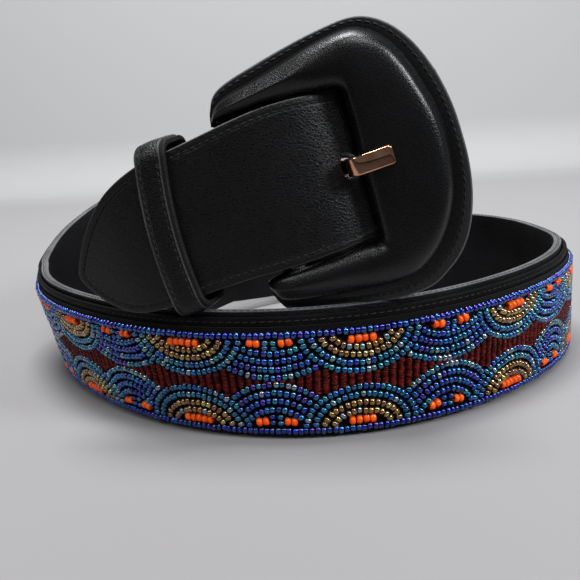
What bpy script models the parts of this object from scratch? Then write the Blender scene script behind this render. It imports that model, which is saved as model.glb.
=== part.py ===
"""Beaded leather belt, fastened and coiled twice, standing on its lower edge.

Units are metres, +Z is up, the floor is z = 0 and the buckle faces -Y.
Named sizes are in millimetres and are turned into metres by MM.
The tables hold shares of named sizes, given above each table.
"""
import math

import bpy
import bmesh
import numpy as np

MM = 0.001

# Coil: the ring that the strap's lower edge follows, side to side and front to back.
COIL_LENGTH = 200.0
COIL_DEPTH = 175.0

# Leather strap.
STRAP_WIDTH = 38.6
STRAP_THICKNESS = 2.8
STRAP_EDGE_BEVEL = 0.5
FOLD_THICKNESS = 1.6
STATION_STEP = 4.45
GAP = 0.3

# Strip under the beads, and the bead field on it.
BASE_THICKNESS = 1.4
BASE_BELOW_TOP = 1.5
BASE_LOW = 0.7
BASE_EDGE_BEVEL = 0.4
BASE_OVERHANG = 8.0
BASE_START = 6.0
BEAD_THICKNESS = 1.9
BEAD_BELOW_BASE_TOP = 3.7
BEAD_ABOVE_BASE_LOW = 0.7
BEAD_EDGE_BEVEL = 0.6
BEAD_END_MARGIN = 2.0

# Buckle plane: its lengthwise axis climbs to the right and turns a little to the viewer.
# Its middle lies on the back of the billet: x, y as in the coil's tables, z in strap widths.
BUCKLE_SLOPE = 16.4
BUCKLE_TURN = 2.0
BUCKLE_X = -0.0958
BUCKLE_Y = -0.4812
BUCKLE_RISE = 1.6952

# Fold round the bar, and the tongue past the keeper.
FOLD_CROWN = 0.9
FOLD_LENGTH = 22.5
FOLD_SLOT_LENGTH = 20.0
TIP_REACH = 47.0

# Bar and prong.
BAR_RADIUS = 1.6
BAR_ALONG = 8.0
BAR_BEYOND_STRAP = 5.9
PRONG_WIDTH = 4.8
PRONG_THICKNESS = 1.6
PRONG_EDGE_BEVEL = 0.35
PRONG_ABOVE_FRAME = 0.6
PRONG_HOOK_START = 60.0
PRONG_HOOK_END = 270.0
SLOT_SPARE = 0.6

# Frame of the buckle.
BUCKLE_REACH = 61.9
FRAME_BEYOND_BAR = 9.7
FRAME_ROOM = 0.8
FLANGE_WIDTH = 2.8
FLANGE_THICKNESS = 1.8
FLANGE_STEP = 0.2
FRAME_RISE = 8.0
FRAME_HOLLOW = 3.0
FRAME_SHOULDER = 3.6
FRAME_BACK_STEP = 1.6
FRAME_LIP = 2.3
FRAME_LIP_RISE = 4.4
FRAME_ROWS = 3
FRAME_DROP = 0.5

# Keeper loop.
KEEPER_WIDTH = 8.3
KEEPER_THICKNESS = 2.0
KEEPER_EDGE_BEVEL = 0.5
KEEPER_CROWN = 0.25
KEEPER_BEHIND_BAR = 26.7
KEEPER_BOW = 1.9
KEEPER_BOW_MIDDLE = -13.0
KEEPER_SKEW = 4.0
KEEPER_ROOM_TOP = 1.6
KEEPER_ROOM_FOOT = 1.5
KEEPER_ROOM_FACE = 0.5
KEEPER_CORNER = 2.4

# Sizes that follow from the ones above.
HALF_STRAP = STRAP_WIDTH / 2
BASE_HIGH = STRAP_WIDTH - BASE_BELOW_TOP
BEAD_LOW = BASE_LOW + BEAD_ABOVE_BASE_LOW
BEAD_HIGH = BASE_HIGH - BEAD_BELOW_BASE_TOP
BUCKLE_MIDDLE = (BUCKLE_X * COIL_LENGTH, BUCKLE_Y * COIL_DEPTH, BUCKLE_RISE * STRAP_WIDTH)
WINDOW_HALF = HALF_STRAP + FRAME_ROOM
BAR_HALF_LENGTH = HALF_STRAP + BAR_BEYOND_STRAP
FRAME_HALF = BAR_HALF_LENGTH + FRAME_BEYOND_BAR
BAR_DEPTH = FOLD_CROWN - FOLD_THICKNESS - GAP - BAR_RADIUS
FRAME_BACK = BAR_DEPTH + BAR_RADIUS + GAP - FRAME_HOLLOW
HALF_SLOT = PRONG_WIDTH / 2 + SLOT_SPARE

# The next three tables follow the strap's lower edge. x: share of COIL_LENGTH;
# y: share of COIL_DEPTH; rise: share of STRAP_WIDTH; lean: degrees outward.
# Inner turn, from the keeper to the floor at the back.
BUCKLE_SIDE = [
    dict(x=-0.199, y=-0.43, rise=1.0101, lean=1),
    dict(x=-0.219, y=-0.385, rise=0.9667, lean=2),
    dict(x=-0.235, y=-0.326, rise=0.8968, lean=3),
    dict(x=-0.25, y=-0.251, rise=0.8004, lean=4),
    dict(x=-0.259, y=-0.163, rise=0.6734, lean=4),
    dict(x=-0.262, y=-0.069, rise=0.5336, lean=4),
    dict(x=-0.255, y=0.029, rise=0.3889, lean=4),
    dict(x=-0.236, y=0.126, rise=0.2432, lean=4),
    dict(x=-0.205, y=0.217, rise=0.1191, lean=3),
    dict(x=-0.157, y=0.297, rise=0.0315, lean=3),
    dict(x=-0.087, y=0.357, rise=0, lean=2),
]

# Outer turn that stands on the floor, from the back over the right side to the left.
FLOOR_TURN = [
    dict(x=0.003, y=0.394, rise=0, lean=2),
    dict(x=0.102, y=0.417, rise=0, lean=2),
    dict(x=0.205, y=0.409, rise=0, lean=1),
    dict(x=0.302, y=0.366, rise=0, lean=0),
    dict(x=0.381, y=0.294, rise=0, lean=-1),
    dict(x=0.434, y=0.197, rise=0, lean=-1.5),
    dict(x=0.456, y=0.083, rise=0, lean=-1.5),
    dict(x=0.456, y=-0.04, rise=0, lean=-0.8),
    dict(x=0.413, y=-0.163, rise=0, lean=0.7),
    dict(x=0.346, y=-0.267, rise=0, lean=2),
    dict(x=0.265, y=-0.351, rise=0, lean=3.2),
    dict(x=0.174, y=-0.4145, rise=0, lean=4.7),
    dict(x=0.074, y=-0.4518, rise=0, lean=6.7),
    dict(x=-0.031, y=-0.457, rise=0, lean=8.8),
    dict(x=-0.132, y=-0.429, rise=0, lean=10.5),
    dict(x=-0.224, y=-0.373, rise=0, lean=11.7),
    dict(x=-0.304, y=-0.295, rise=0, lean=12.3),
    dict(x=-0.375, y=-0.199, rise=0, lean=12.7),
]

# Climbing turn, from the left side over the crossing at the back to the frame.
CLIMB = [
    dict(x=-0.423, y=-0.106, rise=0, lean=12.4),
    dict(x=-0.45, y=-0.014, rise=0.0364, lean=11.6),
    dict(x=-0.455, y=0.071, rise=0.1299, lean=10.2),
    dict(x=-0.442, y=0.154, rise=0.254, lean=8.4),
    dict(x=-0.409, y=0.234, rise=0.3938, lean=6.6),
    dict(x=-0.357, y=0.306, rise=0.5385, lean=5),
    dict(x=-0.29, y=0.369, rise=0.6891, lean=4),
    dict(x=-0.207, y=0.411, rise=0.8338, lean=3),
    dict(x=-0.11, y=0.434, rise=0.9638, lean=2),
    dict(x=-0.01, y=0.431, rise=1.0721, lean=1),
    dict(x=0.085, y=0.394, rise=1.1764, lean=0),
    dict(x=0.16, y=0.331, rise=1.2749, lean=0),
    dict(x=0.21, y=0.246, rise=1.3674, lean=0),
    dict(x=0.235, y=0.146, rise=1.4511, lean=0),
    dict(x=0.24, y=0.043, rise=1.5131, lean=0),
    dict(x=0.23, y=-0.06, rise=1.5495, lean=0),
    dict(x=0.212, y=-0.16, rise=1.5702, lean=0),
    dict(x=0.193, y=-0.251, rise=1.5751, lean=0),
    dict(x=0.169, y=-0.331, rise=1.5623, lean=0),
    dict(x=0.141, y=-0.397, rise=1.5367, lean=0),
]

# Billet in the buckle's own axes, to the right of its middle and then to the left.
# seat: height of its back, share of STRAP_THICKNESS; low, high: reach below and above
# the middle line, share of HALF_STRAP, which set the rounded tip.
# along: share of BUCKLE_REACH.
BILLET_ROOT = [
    dict(along=0.582, seat=-1.857, low=0.985, high=0.97),
    dict(along=0.485, seat=-0.821, low=1, high=1.028),
    dict(along=0.388, seat=-0.036, low=1, high=1.078),
    dict(along=0.258, seat=0.357, low=1, high=1.108),
    dict(along=0.129, seat=0.429, low=0.99, high=1.088),
    dict(along=0, seat=0.25, low=0.97, high=1.05),
]
# back: share of TIP_REACH.
BILLET_TIP = [
    dict(back=0.213, seat=0, low=0.97, high=1),
    dict(back=0.383, seat=-0.071, low=0.985, high=0.974),
    dict(back=0.489, seat=-0.321, low=0.995, high=0.902),
    dict(back=0.596, seat=-0.75, low=1, high=0.813),
    dict(back=0.681, seat=-1.214, low=0.99, high=0.7),
    dict(back=0.766, seat=-1.786, low=0.935, high=0.544),
    dict(back=0.851, seat=-2.429, low=0.815, high=0.347),
    dict(back=0.926, seat=-3.036, low=0.64, high=0.145),
    dict(back=0.979, seat=-3.5, low=0.461, high=-0.041),
    dict(back=1, seat=-3.679, low=0.352, high=-0.145),
]

# Fold of the buckle strap in the same axes. back: behind the bar, share of FOLD_LENGTH;
# face: height of its outer face, share of STRAP_THICKNESS; thick: share of the same.
FOLD_RETURN = [
    dict(back=1, face=-1.393),
    dict(back=0.578, face=-1.393),
    dict(back=0.267, face=-1.5),
]
FOLD_START = [
    dict(back=0.222, face=0.196, thick=0.607),
    dict(back=0.467, face=-0.071, thick=0.786),
    dict(back=0.756, face=-0.179, thick=1),
    dict(back=1.067, face=-0.286, thick=1),
    dict(back=1.356, face=-0.571, thick=1),
]

# Plan of the frame, from the end of the upper arm, over the right side, to the end
# of the lower arm. outer_along, inner_along: share of BUCKLE_REACH; outer_up: share of
# FRAME_HALF; inner_up: share of WINDOW_HALF; rise: share of FRAME_RISE; flange: share of
# FLANGE_WIDTH; lip: share of FRAME_LIP, where the billet lies over the inner edge.
FRAME_PLAN = [
    dict(outer_along=0.053, outer_up=0.725, inner_along=0.045, inner_up=1.08,
         rise=0.36, flange=0.8, lip=0),
    dict(outer_along=0.086, outer_up=0.817, inner_along=0.068, inner_up=1.015,
         rise=0.62, flange=0.9, lip=0.9),
    dict(outer_along=0.149, outer_up=0.874, inner_along=0.136, inner_up=1,
         rise=0.84, flange=1, lip=1),
    dict(outer_along=0.284, outer_up=0.923, inner_along=0.258, inner_up=1,
         rise=0.94, flange=1.14, lip=1),
    dict(outer_along=0.423, outer_up=0.963, inner_along=0.38, inner_up=1.09,
         rise=1, flange=1.07, lip=0),
    dict(outer_along=0.557, outer_up=0.991, inner_along=0.477, inner_up=1.045,
         rise=1, flange=0.9, lip=0),
    dict(outer_along=0.693, outer_up=1, inner_along=0.549, inner_up=1.01,
         rise=1, flange=0.9, lip=0),
    dict(outer_along=0.78, outer_up=0.957, inner_along=0.585, inner_up=0.94,
         rise=1, flange=1.07, lip=0),
    dict(outer_along=0.858, outer_up=0.848, inner_along=0.587, inner_up=0.76,
         rise=1, flange=1.2, lip=0),
    dict(outer_along=0.922, outer_up=0.676, inner_along=0.584, inner_up=0.55,
         rise=1, flange=1.4, lip=0),
    dict(outer_along=0.969, outer_up=0.453, inner_along=0.579, inner_up=0.36,
         rise=1, flange=1.5, lip=0),
    dict(outer_along=0.994, outer_up=0.223, inner_along=0.573, inner_up=0.18,
         rise=1, flange=1.4, lip=0),
    dict(outer_along=1, outer_up=0, inner_along=0.569, inner_up=0, rise=1, flange=1.35, lip=0),
    dict(outer_along=0.994, outer_up=-0.249, inner_along=0.565, inner_up=-0.18,
         rise=1, flange=1.5, lip=0),
    dict(outer_along=0.969, outer_up=-0.49, inner_along=0.562, inner_up=-0.36,
         rise=1, flange=1.7, lip=0),
    dict(outer_along=0.922, outer_up=-0.711, inner_along=0.559, inner_up=-0.55,
         rise=1, flange=2, lip=0),
    dict(outer_along=0.858, outer_up=-0.871, inner_along=0.556, inner_up=-0.76,
         rise=1, flange=2.1, lip=0),
    dict(outer_along=0.78, outer_up=-0.971, inner_along=0.551, inner_up=-0.94,
         rise=1, flange=2, lip=0),
    dict(outer_along=0.693, outer_up=-1.034, inner_along=0.53, inner_up=-1.01,
         rise=1, flange=1.8, lip=0),
    dict(outer_along=0.557, outer_up=-1.034, inner_along=0.47, inner_up=-1,
         rise=1, flange=1.4, lip=0),
    dict(outer_along=0.423, outer_up=-0.991, inner_along=0.38, inner_up=-1,
         rise=1, flange=1.15, lip=0),
    dict(outer_along=0.284, outer_up=-0.943, inner_along=0.258, inner_up=-1,
         rise=0.94, flange=0.95, lip=0),
    dict(outer_along=0.149, outer_up=-0.88, inner_along=0.136, inner_up=-1,
         rise=0.84, flange=0.8, lip=0),
    dict(outer_along=0.086, outer_up=-0.814, inner_along=0.068, inner_up=-1.015,
         rise=0.62, flange=0.75, lip=0),
    dict(outer_along=0.053, outer_up=-0.702, inner_along=0.045, inner_up=-1.08,
         rise=0.36, flange=0.8, lip=0),
]

# Prong in the same axes, from the bar under the billet and up onto the frame.
# along: share of BUCKLE_REACH; climb: share of the height from the hook to the frame.
PRONG_RUN = [
    dict(along=0.21, climb=0),
    dict(along=0.323, climb=0.018),
    dict(along=0.42, climb=0.05),
    dict(along=0.478, climb=0.12),
    dict(along=0.506, climb=0.27),
    dict(along=0.517, climb=0.5),
    dict(along=0.524, climb=0.74),
    dict(along=0.54, climb=0.93),
    dict(along=0.575, climb=0.995),
    dict(along=0.705, climb=1),
]
# Slot of the billet that the prong comes up through, share of BUCKLE_REACH.
BILLET_SLOT = (0.485, 0.56)

MATERIALS = dict(
    body_strap=((0.020, 0.020, 0.022), 0.45, 0.0),
    buckle_strap=((0.021, 0.021, 0.023), 0.45, 0.0),
    billet=((0.022, 0.022, 0.025), 0.42, 0.0),
    panel_base=((0.014, 0.014, 0.016), 0.60, 0.0),
    bead_panel=((0.060, 0.110, 0.260), 0.25, 0.0),
    buckle_frame=((0.018, 0.018, 0.020), 0.38, 0.0),
    buckle_bar=((0.45, 0.44, 0.43), 0.35, 1.0),
    prong=((0.78, 0.66, 0.58), 0.15, 1.0),
    keeper=((0.023, 0.023, 0.026), 0.42, 0.0),
)


def clear_scene():
    for obj in list(bpy.data.objects):
        bpy.data.objects.remove(obj, do_unlink=True)


def make_material(name):
    color, roughness, metallic = MATERIALS[name]
    mat = bpy.data.materials.new(name)
    mat.use_nodes = True
    shader = mat.node_tree.nodes["Principled BSDF"]
    shader.inputs["Base Color"].default_value = (*color, 1.0)
    shader.inputs["Roughness"].default_value = roughness
    shader.inputs["Metallic"].default_value = metallic
    mat.diffuse_color = (*color, 1.0)
    return mat


def add_object(name, verts, faces, sharp_angle=35.0):
    """Make one closed solid from millimetre points, faces turned outward."""
    points = [(x * MM, y * MM, z * MM) for x, y, z in verts]
    mesh = bpy.data.meshes.new(name)
    mesh.from_pydata(points, [], faces)
    mesh.update()
    bm = bmesh.new()
    bm.from_mesh(mesh)
    bmesh.ops.recalc_face_normals(bm, faces=bm.faces)
    if bm.calc_volume(signed=True) < 0:
        bmesh.ops.reverse_faces(bm, faces=bm.faces)
    bm.to_mesh(mesh)
    bm.free()
    mesh.shade_smooth()
    mesh.set_sharp_from_angle(angle=math.radians(sharp_angle))
    mesh.materials.append(make_material(name))
    obj = bpy.data.objects.new(name, mesh)
    bpy.context.scene.collection.objects.link(obj)
    return obj


def unit(v):
    v = np.asarray(v, float)
    return v / np.linalg.norm(v)


# Axes of the buckle plane.
TURN = math.radians(BUCKLE_TURN)
SLOPE = math.radians(BUCKLE_SLOPE)
FLAT_AXIS = np.array([math.cos(TURN), -math.sin(TURN), 0.0])
UP = np.array([0.0, 0.0, 1.0])
FACE_AXIS = np.cross(FLAT_AXIS, UP)
ALONG_AXIS = FLAT_AXIS * math.cos(SLOPE) + UP * math.sin(SLOPE)
UP_AXIS = -FLAT_AXIS * math.sin(SLOPE) + UP * math.cos(SLOPE)


def buckle_point(along, up, depth):
    return np.array(BUCKLE_MIDDLE) + ALONG_AXIS * along + UP_AXIS * up + FACE_AXIS * depth


def coil_point(row):
    return row["x"] * COIL_LENGTH, row["y"] * COIL_DEPTH, row["rise"] * STRAP_WIDTH


def spline(points, counts):
    """Pass a smooth curve through the rows, with counts[i] steps after row i."""
    pts = np.asarray(points, float)
    ext = np.vstack([2 * pts[0] - pts[1], pts, 2 * pts[-1] - pts[-2]])
    out = []
    for i, count in enumerate(counts):
        p0, p1, p2, p3 = ext[i], ext[i + 1], ext[i + 2], ext[i + 3]
        for k in range(count):
            t = k / count
            a = 2 * p1
            b = p2 - p0
            c = 2 * p0 - 5 * p1 + 4 * p2 - p3
            d = 3 * p1 - p0 - 3 * p2 + p3
            out.append(0.5 * (a + b * t + c * t * t + d * t * t * t))
    out.append(pts[-1])
    return np.array(out)


def rising(values, spacing, counts):
    """Interpolate one column without overshoot, so that level stretches stay level."""
    v = np.asarray(values, float)
    h = np.asarray(spacing, float)
    d = np.diff(v) / h
    m = np.zeros(len(v))
    for i in range(1, len(v) - 1):
        if d[i - 1] * d[i] > 0:
            w1 = 2 * h[i] + h[i - 1]
            w2 = h[i] + 2 * h[i - 1]
            m[i] = (w1 + w2) / (w1 / d[i - 1] + w2 / d[i])
    m[0] = d[0]
    m[-1] = d[-1]
    out = []
    for i, count in enumerate(counts):
        for k in range(count):
            t = k / count
            h00 = (1 + 2 * t) * (1 - t) ** 2
            h10 = t * (1 - t) ** 2
            h01 = t * t * (3 - 2 * t)
            h11 = t * t * (t - 1)
            out.append(h00 * v[i] + h10 * h[i] * m[i] + h01 * v[i + 1] + h11 * h[i] * m[i + 1])
    out.append(v[-1])
    return np.array(out)


def strand_rows():
    """Rows of the whole run from the keeper, twice round the coil, to the tip."""
    rows = []
    for row in FOLD_START:
        thick = row["thick"] * STRAP_THICKNESS
        along = BAR_ALONG - row["back"] * FOLD_LENGTH
        p = buckle_point(along, -HALF_STRAP, row["face"] * STRAP_THICKNESS - thick / 2)
        rows.append(dict(p=p, lean=0, hold=1, thick=thick, low=0, high=STRAP_WIDTH))
    for row in BUCKLE_SIDE + FLOOR_TURN + CLIMB:
        p = np.array(coil_point(row), float)
        rows.append(dict(p=p, lean=row["lean"], hold=0, thick=STRAP_THICKNESS,
                         low=0, high=STRAP_WIDTH))
    tongue = [(row["along"] * BUCKLE_REACH, row) for row in BILLET_ROOT]
    tongue += [(-row["back"] * TIP_REACH, row) for row in BILLET_TIP]
    for along, row in tongue:
        p = buckle_point(along, -HALF_STRAP, (row["seat"] + 0.5) * STRAP_THICKNESS)
        rows.append(dict(p=p, lean=0, hold=1, thick=STRAP_THICKNESS,
                         low=(1 - row["low"]) * HALF_STRAP, high=(1 + row["high"]) * HALF_STRAP))
    return rows


def sample_strand():
    """Turn the rows into stations with position, width axis and face axis."""
    rows = strand_rows()
    p = np.array([r["p"] for r in rows])
    spacing = np.linalg.norm(np.diff(p, axis=0), axis=1)
    counts = [max(1, int(round(s / STATION_STEP))) for s in spacing]
    xy = spline(p[:, :2], counts)
    z = rising(p[:, 2], spacing, counts)
    pos = np.column_stack([xy, z])
    column = {}
    for key in ("lean", "hold", "thick", "low", "high"):
        column[key] = rising([r[key] for r in rows], spacing, counts)
    step = np.gradient(pos, axis=0)
    stations = []
    for i, point in enumerate(pos):
        tangent = unit(step[i])
        level = unit([tangent[0], tangent[1], 0.0])
        outward = np.array([-level[1], level[0], 0.0])
        lean = math.radians(column["lean"][i])
        free = outward * math.sin(lean) + UP * math.cos(lean)
        hold = column["hold"][i]
        width = unit(free * (1 - hold) + UP_AXIS * hold)
        width = unit(width - tangent * np.dot(width, tangent))
        face = unit(outward * (1 - hold) + np.cross(width, tangent) * hold)
        stations.append(dict(pos=point, width=width, face=face, tangent=tangent,
                             thick=column["thick"][i], low=column["low"][i],
                             high=column["high"][i]))
    run = np.concatenate([[0], np.cumsum(np.linalg.norm(np.diff(pos, axis=0), axis=1))])
    for station, s in zip(stations, run):
        station["run"] = s
    return stations


def bar_of_stations(name, stations, bevel, low=None, high=None, near=None, far=None):
    """Sweep a bevelled strip through the stations and cap both ends."""
    verts = []
    for st in stations:
        lo = st["low"] if low is None else low
        hi = st["high"] if high is None else high
        inner = -st["thick"] / 2 if near is None else near
        outer = st["thick"] / 2 if far is None else far
        b = min(bevel, (hi - lo) / 3, (outer - inner) / 3)
        ring = [(lo, inner + b), (lo, outer - b), (lo + b, outer), (hi - b, outer),
                (hi, outer - b), (hi, inner + b), (hi - b, inner), (lo + b, inner)]
        for w, f in ring:
            verts.append(st["pos"] + st["width"] * w + st["face"] * f)
    # Both broad sides are split along the same diagonal, so that layers stay parallel.
    faces = []
    n = 8
    for k in range(len(stations) - 1):
        for j in range(n):
            a = k * n + j
            b = k * n + (j + 1) % n
            if j < 5:
                faces += [(a, b, b + n), (a, b + n, a + n)]
            else:
                faces += [(a, b, a + n), (b, b + n, a + n)]
    faces.append(tuple(range(n)))
    last = (len(stations) - 1) * n
    faces.append(tuple(last + j for j in reversed(range(n))))
    return add_object(name, verts, faces)


def nearest_run(stations, x, y, z):
    target = np.array([x, y, z], float)
    best = min(stations, key=lambda st: np.linalg.norm(st["pos"] - target))
    return best["run"]


def fold_stations():
    """Return layer and the turn round the bar, as stations that lead into the strand."""
    rows = []
    for row in FOLD_RETURN:
        depth = row["face"] * STRAP_THICKNESS - FOLD_THICKNESS / 2
        rows.append((BAR_ALONG - row["back"] * FOLD_LENGTH, depth, FOLD_THICKNESS))
    radius = BAR_RADIUS + GAP + FOLD_THICKNESS / 2
    for k in range(9):
        angle = math.radians(-90 + 180 * k / 8)
        rows.append((BAR_ALONG + radius * math.cos(angle), BAR_DEPTH + radius * math.sin(angle),
                     FOLD_THICKNESS))
    return rows


def buckle_strap_stations(first):
    """Stations of the fold, then those of the strand that starts at it."""
    rows = fold_stations()
    pts = [buckle_point(a, -HALF_STRAP, d) for a, d, t in rows]
    lead = pts + [st["pos"] for st in first]
    out = []
    for i, (a, d, t) in enumerate(rows):
        before = lead[max(i - 1, 0)]
        after = lead[i + 1]
        tangent = unit(after - before)
        out.append(dict(pos=pts[i], width=UP_AXIS, face=np.cross(UP_AXIS, tangent),
                        tangent=tangent, thick=t, low=0.0, high=STRAP_WIDTH))
    return out + first


def cut_slot(obj, along, depth, name):
    """Cut a slot for the prong with a box in the buckle's axes."""
    corners = []
    for a in along:
        for u in (-HALF_SLOT, HALF_SLOT):
            for d in depth:
                corners.append(buckle_point(a, u, d))
    faces = [(0, 1, 3, 2), (4, 6, 7, 5), (0, 4, 5, 1), (2, 3, 7, 6), (0, 2, 6, 4), (1, 5, 7, 3)]
    points = [tuple(c * MM) for c in corners]
    mesh = bpy.data.meshes.new(name)
    mesh.from_pydata(points, [], faces)
    bm = bmesh.new()
    bm.from_mesh(mesh)
    bmesh.ops.recalc_face_normals(bm, faces=bm.faces)
    bm.to_mesh(mesh)
    bm.free()
    cutter = bpy.data.objects.new(name, mesh)
    bpy.context.scene.collection.objects.link(cutter)
    cutter.hide_render = True
    cutter.display_type = "WIRE"
    mod = obj.modifiers.new("slot", "BOOLEAN")
    mod.operation = "DIFFERENCE"
    mod.solver = "EXACT"
    mod.object = cutter


def frame_sections():
    """Rows of the whole frame: upper arm, right side, lower arm."""
    units = dict(outer_along=BUCKLE_REACH, outer_up=FRAME_HALF, inner_along=BUCKLE_REACH,
                 inner_up=WINDOW_HALF, rise=1.0, flange=FLANGE_WIDTH, lip=1.0)
    rows = [[row[k] * unit_size for k, unit_size in units.items()] for row in FRAME_PLAN]
    return spline(rows, [FRAME_ROWS] * (len(rows) - 1))


def frame_profile(width, rise, flange_width, lip):
    """Cross-section from the flange's edge to the window, as distance and height."""
    top = FRAME_RISE * rise
    low = FRAME_HOLLOW * min(1.0, rise * 1.2)
    lip = min(max(lip, 0.0), 1.0)
    flange = min(flange_width, width * 0.4)
    inner = width - FRAME_LIP * lip
    room = inner - flange
    soft = min(FRAME_SHOULDER, room * 0.42)
    step = FLANGE_THICKNESS
    foot = flange - FLANGE_STEP
    shoulder = top * 0.66
    edge = max(top * 0.50, low * 1.2)
    shoulder += (min(shoulder, FRAME_LIP_RISE) - shoulder) * lip
    edge += (min(edge, low * 1.2) - edge) * lip
    points = [(0.0, 0.0), (0.0, step)]
    points.append((foot, step))
    points.append((flange + soft * 0.10, step + (top - step) * 0.28))
    points.append((flange + soft * 0.38, step + (top - step) * 0.62))
    points.append((flange + soft, step + (top - step) * 0.90))
    points.append((flange + room * 0.52, top))
    points.append((inner - soft * 0.85, top * 0.96))
    points.append((inner - soft * 0.36, top * 0.84))
    points.append((inner - soft * 0.08, shoulder))
    points.append((width, edge))
    points.append((width, low))
    points.append((flange + min(FRAME_BACK_STEP, room * 0.2), low))
    points.append((foot, 0.0))
    return points


def build_frame():
    rows = frame_sections()
    verts = []
    for oa, ou, ia, iu, rise, flange, lip in rows:
        outer = np.array([oa, ou])
        inner = np.array([ia, iu])
        width = np.linalg.norm(inner - outer)
        across = (inner - outer) / width
        for x, h in frame_profile(width, rise, flange, lip):
            a, u = outer + across * x
            verts.append(buckle_point(a, u - FRAME_DROP, FRAME_BACK + h))
    n = len(frame_profile(10.0, 1.0, FLANGE_WIDTH, 0.0))
    faces = []
    for k in range(len(rows) - 1):
        for j in range(n):
            a = k * n + j
            b = k * n + (j + 1) % n
            faces.append((a, b, b + n, a + n))
    faces.append(tuple(range(n)))
    last = (len(rows) - 1) * n
    faces.append(tuple(last + j for j in reversed(range(n))))
    return add_object("buckle_frame", verts, faces, 40.0)


def build_bar():
    count = 16
    verts = []
    for up in (-BAR_HALF_LENGTH, BAR_HALF_LENGTH):
        for k in range(count):
            angle = 2 * math.pi * k / count
            verts.append(buckle_point(BAR_ALONG + BAR_RADIUS * math.cos(angle), up,
                                      BAR_DEPTH + BAR_RADIUS * math.sin(angle)))
    faces = [(k, (k + 1) % count, (k + 1) % count + count, k + count) for k in range(count)]
    faces.append(tuple(range(count)))
    faces.append(tuple(count + k for k in reversed(range(count))))
    return add_object("buckle_bar", verts, faces)


def build_prong():
    radius = BAR_RADIUS + GAP + PRONG_THICKNESS / 2
    line = []
    steps = 10
    for k in range(steps + 1):
        angle = math.radians(PRONG_HOOK_START + (PRONG_HOOK_END - PRONG_HOOK_START) * k / steps)
        line.append((BAR_ALONG + radius * math.cos(angle), BAR_DEPTH + radius * math.sin(angle)))
    hook = BAR_DEPTH - radius
    rest = FRAME_BACK + FRAME_RISE + PRONG_ABOVE_FRAME + PRONG_THICKNESS / 2
    run = [(r["along"] * BUCKLE_REACH, hook + r["climb"] * (rest - hook)) for r in PRONG_RUN]
    smooth = spline([line[-1]] + run, [2] * len(run))
    line = np.array(line[:-1] + [tuple(p) for p in smooth])
    step = np.gradient(line, axis=0)
    stations = []
    for (a, d), (da, dd) in zip(line, step):
        size = math.hypot(da, dd)
        face = (ALONG_AXIS * -dd + FACE_AXIS * da) / size
        stations.append(dict(pos=buckle_point(a, -PRONG_WIDTH / 2, d), width=UP_AXIS, face=face,
                             thick=PRONG_THICKNESS, low=0.0, high=PRONG_WIDTH))
    return bar_of_stations("prong", stations, PRONG_EDGE_BEVEL)


def build_keeper():
    """Loop of leather in the plane across the strap, bowed along it."""
    middle = BAR_ALONG - KEEPER_BEHIND_BAR
    top = HALF_STRAP + KEEPER_ROOM_TOP
    foot = -HALF_STRAP - KEEPER_ROOM_FOOT
    front = STRAP_THICKNESS + KEEPER_ROOM_FACE
    back = FOLD_RETURN[0]["face"] * STRAP_THICKNESS - FOLD_THICKNESS - KEEPER_ROOM_FACE
    corner = KEEPER_CORNER
    centers = [(top - corner, front - corner, 0), (foot + corner, front - corner, 90),
               (foot + corner, back + corner, 180), (top - corner, back + corner, 270)]
    loop = []
    for up, depth, start in centers:
        for k in range(5):
            angle = math.radians(start + 90 * k / 4)
            normal = (math.cos(angle), math.sin(angle))
            loop.append((up + corner * normal[0], depth + corner * normal[1], normal))
    full = []
    for i, (up, depth, normal) in enumerate(loop):
        full.append((up, depth, normal))
        nup, ndepth, nnormal = loop[(i + 1) % len(loop)]
        if abs(nup - up) > 3 * corner:
            for k in range(1, 8):
                t = k / 8
                full.append((up + (nup - up) * t, depth + (ndepth - depth) * t, normal))
    verts = []
    half = KEEPER_WIDTH / 2
    b = KEEPER_EDGE_BEVEL
    t = KEEPER_THICKNESS
    crown = t + KEEPER_CROWN
    ring = [(-half + b, 0), (half - b, 0), (half, b), (half, t - b), (half - b, t),
            (half * 0.4, crown), (-half * 0.4, crown), (-half + b, t), (-half, t - b),
            (-half, b)]
    for up, depth, normal in full:
        bow = KEEPER_BOW * ((up - KEEPER_BOW_MIDDLE) / foot) ** 2
        bow += KEEPER_SKEW * (front - depth) / (front - back)
        for along, out in ring:
            verts.append(buckle_point(middle + bow + along, up + normal[0] * out,
                                      depth + normal[1] * out))
    n = len(ring)
    m = len(full)
    faces = []
    for k in range(m):
        for j in range(n):
            a = k * n + j
            b2 = k * n + (j + 1) % n
            c = ((k + 1) % m) * n + (j + 1) % n
            d = ((k + 1) % m) * n + j
            faces.append((a, b2, c, d))
    return add_object("keeper", verts, faces)


def stand_on_origin():
    """Move every solid and cutter so that the footprint's middle is the origin."""
    solids = [obj for obj in bpy.data.objects if not obj.hide_render]
    points = np.array([v.co[:2] for obj in solids for v in obj.data.vertices])
    middle = (points.min(axis=0) + points.max(axis=0)) / 2
    for obj in bpy.data.objects:
        for vertex in obj.data.vertices:
            vertex.co.x -= middle[0]
            vertex.co.y -= middle[1]
    print("footprint middle (mm)", middle / MM)


def trimmed(stations, start, end):
    """Stations between two run lengths, with exact end stations."""
    out = [st for st in stations if start < st["run"] < end]
    for s, place in ((start, 0), (end, len(out) + 1)):
        after = next(i for i, st in enumerate(stations) if st["run"] >= s)
        after = max(after, 1)
        a = stations[after - 1]
        b = stations[after]
        t = (s - a["run"]) / (b["run"] - a["run"])
        mix = {k: a[k] + (b[k] - a[k]) * t for k in ("pos", "thick", "low", "high", "run")}
        for k in ("width", "face", "tangent"):
            mix[k] = unit(a[k] + (b[k] - a[k]) * t)
        out.insert(place, mix)
    return out


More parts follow.
